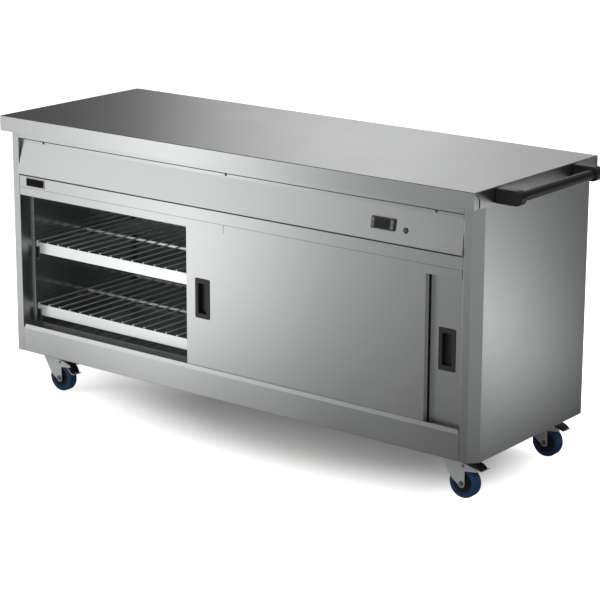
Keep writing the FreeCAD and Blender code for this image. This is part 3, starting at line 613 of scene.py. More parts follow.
def ranged(tree: bpy.types.NodeTree, source: bpy.types.NodeSocket, span: Flat = (0.0, 1.0),
           low: float = 0.0, high: float = 1.0, smooth: bool = False) -> bpy.types.NodeSocket:
    """Map a span of a value on to another.

    Args:
        tree: Node tree that it goes in.
        source: The value.
        span: Where it starts and ends.
        low: Result at the start.
        high: Result at the end.
        smooth: Whether it eases in and out.

    Returns:
        Result socket.
    """
    inputs = {"Value": source, "From Min": span[0], "From Max": span[1], "To Min": low,
              "To Max": high}
    easing = "SMOOTHSTEP" if smooth else "LINEAR"
    return add_node(tree, "MapRange", inputs, interpolation_type=easing).outputs["Result"]


def blend(tree: bpy.types.NodeTree, factor: bpy.types.NodeSocket, first: Any,
          second: Any) -> bpy.types.NodeSocket:
    """Mix two numbers.

    Args:
        tree: Node tree that it goes in.
        factor: Share of the second one.
        first: Source or plain number.
        second: Source or plain number.

    Returns:
        Result socket.
    """
    inputs = {0: factor, 2: first, 3: second}
    return add_node(tree, "Mix", inputs, data_type="FLOAT").outputs[0]


@dataclass(frozen=True)
class Finish:
    """A surface finish: base colour, roughness and a pattern that varies both.

    The pattern is a noise read from object coordinates. Its scale is given as the size of
    one grain in millimetres.
    """

    name: str
    colour: str
    roughness: float
    metallic: float = 0.0
    grain: float = 2.0
    colour_change: float = 0.06
    roughness_change: float = 0.06
    relief: float = 0.05
    relief_depth: float = 0.05

    def scale(self) -> Point:
        """How often the pattern repeats per metre along X, Y and Z."""
        often = 1000.0 / self.grain
        return often, often, often

    def extras(self, tree: bpy.types.NodeTree) -> dict[str, Any]:
        """Further inputs of the surface shader."""
        return {}

    def material(self) -> bpy.types.Material:
        """Build the material.

        Returns:
            A node material of this finish.
        """
        made = bpy.data.materials.new(self.name)
        made.use_nodes = True
        tree = made.node_tree
        tree.nodes.clear()
        place = add_node(tree, "TexCoord").outputs["Object"]
        spread = add_node(tree, "Mapping", {"Vector": place, "Scale": self.scale()})
        fine = add_node(tree, "TexNoise", {"Vector": spread.outputs["Vector"], "Scale": 1.0,
                                           "Detail": 4.0}).outputs["Fac"]
        broad = add_node(tree, "TexNoise", {"Vector": place, "Scale": 5.0,
                                            "Detail": 2.0}).outputs["Fac"]
        shade = maths(tree, "MULTIPLY_ADD", broad, 0.4, maths(tree, "MULTIPLY", fine, 0.6))
        spans = [[min(1.0, part * (1 + sign * self.colour_change))
                  for part in linear(self.colour)[:3]] for sign in (-1, 1)]
        colours = add_node(tree, "Mix", {0: shade, 6: (*spans[0], 1.0), 7: (*spans[1], 1.0)},
                           data_type="RGBA")
        low, high = (max(0.02, self.roughness + sign * self.roughness_change)
                     for sign in (-1, 1))
        bump = add_node(tree, "Bump", {"Height": fine, "Strength": self.relief,
                                       "Distance": self.relief_depth * MM})
        inputs = {"Base Color": colours.outputs[2], "Metallic": self.metallic,
                  "Roughness": ranged(tree, shade, low=low, high=high),
                  "Normal": bump.outputs["Normal"], **self.extras(tree)}
        shader = add_node(tree, "BsdfPrincipled", inputs)
        add_node(tree, "OutputMaterial", {"Surface": shader.outputs["BSDF"]})
        return made


@dataclass(frozen=True)
class BrushedSteel(Finish):
    """Grade 304 sheet polished with a belt: long fine lines that smear reflections across them."""

    metallic: float = 1.0
    lines: Grain = Grain.ALONG_X
    smear: float = 0.75

    def scale(self) -> Point:
        """Stretch the noise along the polishing lines, drawn 2.4 mm apart so that they show."""
        return self.lines.value

    def extras(self, tree: bpy.types.NodeTree) -> dict[str, Any]:
        """Anisotropy, with its tangent square to the lines.

        The tangent is upright on standing sheets and front to back on level ones.

        Args:
            tree: Node tree that it goes in.

        Returns:
            Inputs by name.
        """
        normal = add_node(tree, "NewGeometry").outputs["Normal"]
        level = vectors(tree, "DOT_PRODUCT", normal, UPWARDS)
        inwards = vectors(tree, "MULTIPLY", normal, level)
        across = vectors(tree, "SUBTRACT", UPWARDS, inwards)
        return {"Anisotropic": self.smear, "Tangent": vectors(tree, "NORMALIZE", across)}


@dataclass(frozen=True)
class Plastic(Finish):
    """Moulded plastic or rubber with a spark-eroded texture."""

    gloss: float = 0.5
    coat: float = 0.0

    def extras(self, tree: bpy.types.NodeTree) -> dict[str, Any]:
        """Specular level and clear layer."""
        return {"Specular IOR Level": self.gloss, "Coat Weight": self.coat,
                "Coat Roughness": 0.08}


class Rack:
    """All finishes of the trolley, each built once."""

    def __init__(self) -> None:
        """Build every material."""
        # Satin stainless: pale, softly mirrored, with reflections drawn out across the lines.
        self.sheet = BrushedSteel("brushed_stainless_lengthwise", "#c9cbca", 0.33).material()
        # The lines of the ends run front to back, and mirror the room as a tall soft band.
        self.end_sheet = BrushedSteel("brushed_stainless_ends", "#c4c6c5", 0.33,
                                      lines=Grain.ALONG_Y).material()
        # The top is polished a little finer, and looks a little darker for it.
        self.top_sheet = BrushedSteel("brushed_stainless_top", "#c6c8c7", 0.30).material()
        # A dull dark grey strip paints shade along the small bend of the worktop's front edge.
        self.bend = Finish("painted_bend_shade", "#565858", 0.45, 0.6, 2.0, 0.04).material()
        # Mill-bright stainless inside: nearly a mirror, in shade.
        self.liner = BrushedSteel("bright_annealed_liner", "#a9acab", 0.13, 0.9,
                                  roughness_change=0.03, smear=0.0).material()
        # Drawn aluminium extrusion with faint die lines.
        self.aluminium = BrushedSteel("mill_aluminium", "#b5b8ba", 0.38, smear=0.4).material()
        # Electropolished wire: close to white where lamps meet it.
        self.wire = Finish("electropolished_wire", "#e2e5e5", 0.24, 0.6, 3.0, 0.03,
                           0.05, 0.03).material()
        # Paler, less metallic wire colour: painted highlights on the wire ends and the cross
        # strips.
        self.wire_highlight = Finish("painted_wire_highlight", "#f2f4f4", 0.30, 0.35, 2.0, 0.03).material()
        # Bright zinc on pressed steel: cool, a little cloudy.
        self.zinc = Finish("bright_zinc_plate", "#dcddde", 0.38, 0.68, 5.0, 0.10,
                           0.08, 0.06).material()
        # Zinc-plated nuts and rivets, duller than the pressing.
        self.fixing = Finish("dull_zinc_fixing", "#8c8e90", 0.42, 0.85, 2.0, 0.10).material()
        # Domed stainless screws, coloured far darker than the sheet: painted shade.
        self.screw = Finish("stainless_painted_shade", "#636464", 0.34, 1.0, 1.0).material()
        # Elastic blue rubber, matt and slightly dusty.
        self.tyre = Plastic("blue_elastic_tyre", "#0a3355", 0.44, grain=1.6,
                            colour_change=0.14, relief=0.12).material()
        # Glass-filled nylon: black with a dry sheen.
        self.hub = Plastic("black_nylon", "#1b1b1c", 0.46, grain=1.2, relief=0.10,
                           gloss=0.45).material()
        # The same family of nylon, moulded a little smoother for the pedals.
        self.pedal = Plastic("black_polyamide_pedal", "#1e1e1f", 0.42, grain=1.5,
                             relief=0.10).material()
        # Push handle mouldings: spark-eroded texture of about 0.4 mm, drawn at 1 mm.
        self.handle = Plastic("textured_black_moulding", "#141415", 0.34, grain=1.0,
                              relief=0.12, relief_depth=0.10, gloss=0.4).material()
        # Moulded door pulls: a dark grey frame round a black cup.
        self.pull = Plastic("dark_grey_moulding", "#29292b", 0.40, grain=1.0,
                            relief=0.10, gloss=0.3).material()
        self.cup = Plastic("black_pull_cup", "#141416", 0.42, grain=1.0).material()
        # Moulded ABS case with soft rubber keys.
        self.controller = Plastic("grey_controller_moulding", "#353737", 0.42,
                                  grain=0.8).material()
        self.key = Plastic("grey_rubber_keys", "#6c6e6e", 0.55, grain=0.8).material()
        # Smoked acrylic window with a hard shine.
        self.window = Plastic("smoked_acrylic_window", "#161617", 0.20, grain=6.0, relief=0.0,
                              gloss=0.4).material()
        # Dark green lens, unlit.
        self.lens = Plastic("green_lamp_lens", "#1f4a3c", 0.16, grain=2.0, relief=0.02,
                            gloss=0.6, coat=0.5).material()
        # Moulded nylon: black for gland and lamp flange, undyed for door rollers; the black also
        # paints gap shade.
        self.gland = Plastic("black_nylon_and_gap_shade", "#202021", 0.45, grain=1.2).material()
        self.roller = Plastic("natural_nylon", "#d8d6cc", 0.40, grain=1.2).material()
        # Badge: black enamelled plate with a thin bare rim, left without any mark.
        self.badge = Plastic("black_enamel_plate", "#08080a", 0.40, grain=4.0, relief=0.02,
                             gloss=0.08).material()
        self.badge_rim = Finish("bare_badge_rim", "#b9bbbb", 0.3, 1.0, 1.0).material()


# ------------------------------------------------------------------ carried-over nodes
@dataclass
class Casing:
    """Frame nodes that keep their shape, by finish."""

    finishes: Rack
    lengthwise: tuple[str, ...] = ("header_rail", "fascia", "top_rail", "track_covers",
                                   "front_skirt", "bottom_track", "back_panel",
                                   "door_outer_panel", "door_inner_panel", "base_pan")
    lining: tuple[str, ...] = ("liner_ends", "liner_back", "liner_ceiling", "liner_floor",
                               "shelf_supports")

    def dress(self) -> None:
        """Give every carried-over node its finish."""
        rack = self.finishes
        pairs = [(name, rack.sheet) for name in self.lengthwise]
        pairs += [(name, rack.liner) for name in self.lining]
        pairs += [("worktop", rack.top_sheet), ("end_panel_left", rack.end_sheet),
                  ("end_panel_right", rack.end_sheet), ("top_track", rack.aluminium),
                  ("heating_element", rack.screw), ("castor_plates", rack.zinc),
                  ("cable_gland", rack.gland)]
        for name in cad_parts:
            if name.startswith("roller_"):
                pairs.append((name, rack.roller))
        for name, finish in pairs:
            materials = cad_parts[name].data.materials
            materials.clear()
            materials.append(finish)
            LOG.info("%s wears %s", name, finish.name)


@dataclass
class CornerGussets:
    """Small plates inside the worktop's open corners."""

    finishes: Rack
    setback: float = 2.2
    width: float = 24.0
    thickness: float = 1.5
    margin: float = 2.0
    edge_gap: float = 1.6

    def build(self) -> None:
        """Model a plate and copy it just inside each corner of the worktop."""
        low, high = extent("worktop")
        plate = block("corner_gusset", (0, 0, low.z + self.margin),
                      (self.thickness, self.width, high.z - self.margin))
        bevel_along(plate, 0, 2.0, 2)
        pattern = Pattern()
        pattern.add(plate, self.finishes.end_sheet, "cabinet", "stainless")
        for end, x in (("left", low.x + self.setback),
                       ("right", high.x - self.setback - self.thickness)):
            for edge, y in (("front", low.y + self.edge_gap),
                            ("rear", high.y - self.edge_gap - self.width)):
                pattern.stand(f"{edge}_{end}", shifted((x, y, 0)))
        pattern.clear()


@dataclass
class TopBend:
    """Painted shade: a dark line along the small bend of the worktop's front edge."""

    finishes: Rack
    bend_radius: float = 2.5
    proud: float = 0.05
    thickness: float = 0.4
    end_gap: float = 3.0

    def build(self) -> None:
        """Model a thin dark strip that hugs the bend and paints its shade."""
        low, high = extent("worktop")
        centre = (low.y + self.bend_radius, high.z - self.bend_radius)
        outer = self.bend_radius + self.proud
        turns = range(160, 109, -10)
        points = arc(outer, turns, centre) + arc(outer - self.thickness, reversed(turns), centre)
        strip = prism("worktop_front_bend_shade", points, Plane.YZ, low.x + self.end_gap,
                      high.x - self.end_gap)
        finished(strip, self.finishes.bend, "cabinet")


# ------------------------------------------------------------------ door pulls
@dataclass
class FlushPull:
    """Recessed finger pulls of the sliding doors: frame, cup and two small screws."""

    finishes: Rack
    recess_width: float = 32.0
    recess_height: float = 92.0
    recess_depth: float = 12.0
    corner: float = 4.0
    frame_depth: float = 1.5
    wall: float = 1.8
    screw_inset: float = 8.5
    pattern: Pattern = field(default_factory=Pattern)

    def build(self) -> None:
        """Model one pull on the outer door and copy it to the inner one."""
        low, high = extent("door_outer_pull")
        centre = (low + high) / 2
        self.frame(low, high, centre)
        self.cup(low, high, centre)
        self.screws(centre.x, low.y, (low.z + self.screw_inset, high.z - self.screw_inset))
        for door in ("outer", "inner"):
            self.pattern.stand(door, shifted(extent(f"door_{door}_pull")[0] - low))
        self.pattern.clear()

    def recess(self, centre: Vector, start: float, end: float) -> bpy.types.Object:
        """Rounded block that is taken out of the frame or the cup.

        Args:
            centre: Middle of the pull, in millimetres.
            start: Where the block starts along Y.
            end: Where it ends along Y.

        Returns:
            The block.
        """
        half_x, half_z = self.recess_width / 2, self.recess_height / 2
        hole = block("recess", (centre.x - half_x, start, centre.z - half_z),
                     (centre.x + half_x, end, centre.z + half_z))
        return bevel_along(hole, 1, 2.5, 4)

    def frame(self, low: Vector, high: Vector, centre: Vector) -> None:
        """Model the frame on the face of the door.

        Args:
            low: Lowest corner of the pull, in millimetres.
            high: Highest corner of the pull.
            centre: Middle of the pull.
        """
        plate = block("pull_frame", low, (high.x, low.y + self.frame_depth + 1.0, high.z))
        bevel_along(plate, 1, self.corner, 6)
        cut(plate, self.recess(centre, low.y - 5, low.y + 10))
        rounded(plate, 0.6, 3, 50)
        self.pattern.add(plate, self.finishes.pull, "door_{}", "pull_plastic", "door_{}_pull")

    def cup(self, low: Vector, high: Vector, centre: Vector) -> None:
        """Model the cup behind the frame.

        Args:
            low: Lowest corner of the pull, in millimetres.
            high: Highest corner of the pull.
            centre: Middle of the pull.
        """
        half_x, half_z = self.recess_width / 2 + self.wall, self.recess_height / 2 + self.wall
        back = low.y + self.frame_depth
        cup = block("pull_cup", (centre.x - half_x, back, centre.z - half_z),
                    (centre.x + half_x, high.y, centre.z + half_z))
        cut(cup, self.recess(centre, low.y - 5, back + self.recess_depth))
        self.pattern.add(cup, self.finishes.cup, "door_{}", "pull_plastic")

    def screws(self, x: float, face: float, heights: Sequence[float]) -> None:
        """Two small countersunk screws in the frame.

        Args:
            x: Middle of the frame, in millimetres.
            face: Front face of the frame.
            heights: Height of each screw.
        """
        head = turned("head", [(0.01, 0.0), (1.6, -0.2), (2.4, 0.0), (2.4, 0.5), (0.01, 0.5)],
                      (x, face, heights[0]), steps=20)
        other = duplicate(head, "head", shifted((0, 0, heights[1] - heights[0])))
        whole = joined("pull_screws", [head, other])
        self.pattern.add(whole, self.finishes.cup, "door_{}", "pull_plastic")


# ------------------------------------------------------------------ push handle
@dataclass
class PushHandle:
    """Two moulded brackets on the worktop's end and the round bar between them."""

    finishes: Rack
    bar_radius: float = 14.0
    bar_end: float = 1.5
    collar_radius: float = 17.5
    collar_depth: float = 5.0
    moulding_depth: float = 30.0

    def build(self) -> None:
        """Model both brackets and the bar."""
        self.bracket("front", 1)
        self.bracket("rear", -1)
        low, high = extent("handle_tube")
        half, radius, end = (high.y - low.y) / 2, self.bar_radius, self.bar_end
        bar = turned("handle_bar", [(0.01, -half), (radius - end, -half), (radius, end - half),
                                    (radius, half - end), (radius - end, half), (0.01, half)],
                     middle("handle_tube"))
        finished(bar, self.finishes.handle, "cabinet", ["handle_tube"])

    def bracket(self, end: str, inward: int) -> None:
        """Model one bracket.

        Args:
            end: "front" or "rear".
            inward: 1 if the bar lies to +Y of the bracket, else -1.
        """
        low, high = extent(f"handle_bracket_{end}")
        axis = middle("handle_tube")
        outer = low.y if inward > 0 else high.y
        inner = outer + inward * self.moulding_depth
        nose = arc((high.z - low.z) / 2, range(-90, 91, 10), (axis.x, axis.z))
        side = [(low.x, low.z), *nose, (low.x, high.z)]
        name = f"handle_end_{end}"
        arm = prism(f"{name}_moulding", side, Plane.XZ, min(outer, inner), max(outer, inner))
        rounded(arm, 3.5, 4, 50)
        tip = inward * self.collar_depth
        collar = turned("collar", [(0.01, 0), (self.collar_radius, 0),
                                   (self.collar_radius, tip - inward * 1.2),
                                   (self.collar_radius - 1.2, tip), (0.01, tip)],
                        (axis.x, inner, axis.z))
        whole = joined(name, [arm, collar])
        finished(whole, self.finishes.handle, "cabinet",
                 [f"handle_bracket_{end}"])


# ------------------------------------------------------------------ castors
@dataclass
class Castor:
    """Swivel castors: a pressed fork, an elastic tyre on a nylon hub and a brake pedal.

    One castor is modelled round its axle at the origin and copied to the four corners.
    """

    finishes: Rack
    trail: float = 22.0
    wheel_radius: float = 45.0
    half_fork: float = 19.0
    fork_rise: float = 65.0
    fork_end: float = 12.0
    sheet: float = 2.5
    axle_radius: float = 4.0
    pin_radius: float = 3.0
    hub_radius: float = 31.0
    half_tyre: float = 16.0
    shoulder: float = 6.0
    pedal_ahead: float = 5.0
    pedal_rise: float = 53.0
    pressed: dict[Corner, float] = field(default_factory=lambda: {Corner.FRONT_LEFT: 28.0})
    rolling: Pattern = field(default_factory=Pattern)
    brake: Pattern = field(default_factory=Pattern)

    def build(self) -> None:
        """Model one castor and stand a copy at each corner, with its pedal up or pressed."""
        self.fork()
        self.race()
        self.wheel()
        self.pedal()
        for corner in Corner:
            name = corner.value
            axle = middle(f"wheel_hub_{name}")
            pivot = axle + Vector((self.pedal_ahead, 0, self.pedal_rise))
            turn = Matrix.Rotation(math.radians(self.pressed.get(corner, 0.0)), 4, "Y")
            self.rolling.stand(name, shifted(axle))
            self.brake.stand(name, shifted(pivot) @ turn)
        self.rolling.clear()
        self.brake.clear()

    def fork(self) -> None:
        """Pressed fork: a crown and two cheeks with ears, and then its fixings."""
        top = self.fork_rise
        cheek = [(10, -6.6), (10, 0.58 * top), (48.2, 0.66 * top), (53, 0.71 * top),
                 (42.9, 0.79 * top), (23.9, 0.88 * top), (8.5, 0.92 * top), (-10, top),
                 (-66, top), (-64, 0.91 * top), (-38.9, 0.29 * top), (-25.7, 0.08 * top)]
        cheek += arc(self.fork_end, range(205, 316, 10))
        outer = self.half_fork + self.sheet
        sides = []
        for sign in (-1, 1):
            start = sign * self.half_fork
            side = prism("cheek", cheek, Plane.XZ, start, start + sign * self.sheet)
            bevel_along(side, 1, 2.0, 3)
            rounded(side, 0.7, 2, 50)
            sides.append(side)
        swivel = -self.trail
        crown = prism("crown", [(-64, 1 - outer), (-10, 1 - outer), (swivel + 26, -outer / 2),
                                (swivel + 26, outer / 2), (-10, outer - 1), (-64, outer - 1)],
                      Plane.XY, top - 3.2, top)
        rounded(crown, 0.8, 2, 50)
        whole = joined("castor_fork_pressing", [*sides, crown])
        self.rolling.add(whole, self.finishes.zinc, "castor_fork_{}", "zinc_steel",
                         "castor_fork_{}")
        self.fixings(outer)

    def fixings(self, outer: float) -> None:
        """Axle bolt with washers and nuts, and the pedal pin with its rivet heads.

        Args:
            outer: Distance from the middle of the fork to its outer face.
        """
        parts = [rod("axle", (0, -outer, 0), (0, outer, 0), self.axle_radius, 24)]
        for sign in (-1, 1):
            face = sign * outer
            washer = turned("washer", [(2, -sign * 0.5), (8.4, -sign * 0.5), (8.4, sign * 0.7),
                                       (7.9, sign * 1.1), (2, sign * 1.1)], (0, face, 0), steps=32)
            nut = self.nut(face + sign * 1.0, face + sign * 3.9, 6.5)
            rivet = turned("rivet", [(0.01, -sign * 0.5), (4.6, -sign * 0.5), (4.6, sign * 0.4),
                                     (3.2, sign * 1.3), (0.01, sign * 1.6)],
                           (self.pedal_ahead, face, self.pedal_rise), steps=24)
            parts += [washer, nut, rivet]
        parts.append(rod("pin", (self.pedal_ahead, -outer, self.pedal_rise),
                         (self.pedal_ahead, outer, self.pedal_rise), self.pin_radius, 20))
        whole = joined("castor_fixings", parts)
        self.rolling.add(whole, self.finishes.fixing, "castor_fork_{}", "zinc_steel")

    def nut(self, start: float, end: float, half_width: float) -> bpy.types.Object:
        """Hexagonal nut on the axle.

        Args:
            start: Where it starts along Y, in millimetres.
            end: Where it ends along Y.
            half_width: Half its width across flats.

        Returns:
            The nut.
        """
        points = arc(half_width / math.cos(math.radians(30)), range(30, 390, 60))
        return rounded(prism("nut", points, Plane.XZ, start, end), 0.5, 2, 40)

    def race(self) -> None:
        """Lower race ring that turns with the fork, just over the crown."""
        ring = turned("castor_race", [(14, -0.5), (24.6, -0.5), (24.6, 0.1), (14, 0.1)],
                      (-self.trail, 0, self.fork_rise), True, 48)
        self.rolling.add(ring, self.finishes.zinc, "castor_fork_{}", "zinc_steel")

    def wheel(self) -> None:
        """Tyre with rounded shoulders and a hub with a recessed web."""
        inner, half, turn = self.hub_radius, self.half_tyre, self.shoulder
        section = [(inner, -half + 1), (inner + 1, -half),
                   *arc(turn, range(-90, 1, 15), (self.wheel_radius - turn, turn - half))]
        section += [(across, -along) for across, along in reversed(section)]
        tyre = turned("tyre", section, (0, 0, 0), steps=96)
        self.rolling.add(tyre, self.finishes.tyre, "castor_wheel_{}", "blue_tyre",
                         "wheel_tyre_{}")
        one = [(4.05, -18.4), (10.5, -18.4), (11.6, -17.4), (12.0, -12.0), (14.0, -9.5),
               (24.5, -9.5), (26.5, -12.4), (27.5, -13.0), (30.9, -13.0)]
        web = one + [(across, -along) for across, along in reversed(one)]
        hub = turned("hub", web, (0, 0, 0), steps=72)
        whole = joined("hub_moulding", [hub, *self.hub_ribs()])
        self.rolling.add(whole, self.finishes.hub, "castor_wheel_{}", "hub_plastic",
                         "wheel_hub_{}")

    def hub_ribs(self) -> list[bpy.types.Object]:
        """Five ribs in the recess on each side of the hub's web.

        Returns:
            The ten ribs.
        """
        ribs = []
        for sign in (-1, 1):
            near, far = sorted((sign * 9.0, sign * 12.2))
            first = block("rib", (11, near, -1.3), (26, far, 1.3))
            ribs.append(first)
            ribs += [duplicate(first, "rib", Matrix.Rotation(math.radians(72 * index), 4, "Y"))
                     for index in range(1, 5)]
        return ribs

    def pedal(self) -> None:
        """Cranked steel lever with a black ribbed pad, round its pivot at the origin."""
        half = self.half_fork - 1.5
        lever = prism("lever",
                      [(0, -1.5), (33.6, -2.0), (56, -8.5), (66, -3.5), (65.2, -1.7),
                       (56, -6.2), (33.8, 0.0), (0, 0.5)], Plane.XZ, -half, half)
        bevel_along(lever, 1, 0.6, 2)
        knuckle = turned("knuckle", [(3.05, -half), (4.5, -half), (4.5, half), (3.05, half)],
                         (0, 0, 0), steps=32)
        steel = joined("pedal_lever", [lever, knuckle])
        pad = prism("pedal_pad",
                    [(12, -0.6), (33.6, -0.6), (54.5, -6.6), (56, -4.4), (55.4, -2.4), (44.4, 5.0),
                     (38, 7.2), (30.2, 8.5), (22, 8.2), (14, 6.5), (12.2, 4.6)],
                    Plane.XZ, -half, half)
        rounded(pad, 1.0, 3, 50)
        for index in range(3):
            x = 22 + 8 * index
            groove = block("groove", (x, -half + 4, 6.4), (x + 3, half - 4, 10))
            cut(pad, groove)
        self.brake.add(pad, self.finishes.pedal, "brake_pedal_{}", "pedal_plastic",
                       "brake_pedal_{}")
        self.brake.add(steel, self.finishes.zinc, "brake_pedal_{}", "zinc_steel")


# ------------------------------------------------------------------ wire shelves
@dataclass
class WireShelf:
    """Wire shelf of one side, at two levels: bar with ears, cross strips and welded wires."""

    finishes: Rack
    side: str
    wires: int = 19
    wire_radius: float = 2.5
    inset: float = 5.0
    bar: float = 2.0
    ear: float = 14.0
    strip: float = 7.0
    strip_thickness: float = 3.0
    end_ear: float = 16.75
    middle_ear: float = 14.25
    pattern: Pattern = field(default_factory=Pattern)

    def build(self) -> None:
        """Model the lower shelf of this side and copy it to both levels."""
        low, high = extent(f"shelf_lower_{self.side}")
        top = high.z - 2 * self.wire_radius
        ears = (self.end_ear, self.middle_ear)
        left_ear, right_ear = ears if self.side == "left" else reversed(ears)
        left, right, under = low.x + left_ear, high.x - right_ear, top - self.ear
        face = [(low.x, top), (high.x, top), (high.x, under), (right, under), (right, low.z),
                (left, low.z), (left, under), (low.x, under)]
        bar = prism("bar", face, Plane.XZ, low.y, low.y + self.bar)
        rounded(bar, 0.5, 2, 50)
        thick = self.strip_thickness
        strips = [block("strip", (low.x, y, top - self.strip), (high.x, y + thick, top))
                  for y in ((low.y + high.y) / 2, high.y - thick)]
        z = top + self.wire_radius
        first = rod("wire", (low.x + self.inset, low.y + 0.3, z),
                    (low.x + self.inset, high.y, z), self.wire_radius, 12)
        rounded(first, 0.8, 1, 50)
        pitch = (high.x - low.x - 2 * self.inset) / (self.wires - 1)
        repeated(first, self.wires, (pitch, 0, 0))
        # The cross strips wear the paler finish, which paints their highlights.
        cross = joined("cross_strips", strips)
        self.pattern.add(cross, self.finishes.wire_highlight, "{}", "shelf_wire")
        whole = joined("wire", [bar, first])
        self.pattern.add(whole, self.finishes.wire, "{}", "shelf_wire", "{}")
        self.nubs(low, z, pitch)
        for level in ("lower", "upper"):
            node = f"shelf_{level}_{self.side}"
            self.pattern.stand(node, shifted(extent(node)[0] - low))
        self.pattern.clear()

    def nubs(self, low: Vector, z: float, pitch: float) -> None:
        """Wire ends that stand along the top of the bar, in the paler finish that paints their
        highlights.

        Args:
            low: Lowest corner of the shelf, in millimetres.
            z: Height of the wires' axes.
            pitch: Distance between wires.
        """
        dome = turned("dome", [(0.01, -0.6), (1.6, -0.4), (2.6, 0.4), (2.9, 1.6), (2.9, 3.4),
                               (0.01, 3.4)], (low.x + self.inset, low.y, z + 0.1), steps=12)
        dome.name = "wire_ends"
        repeated(dome, self.wires, (pitch, 0, 0))
        self.pattern.add(dome, self.finishes.wire_highlight, "{}", "shelf_wire")


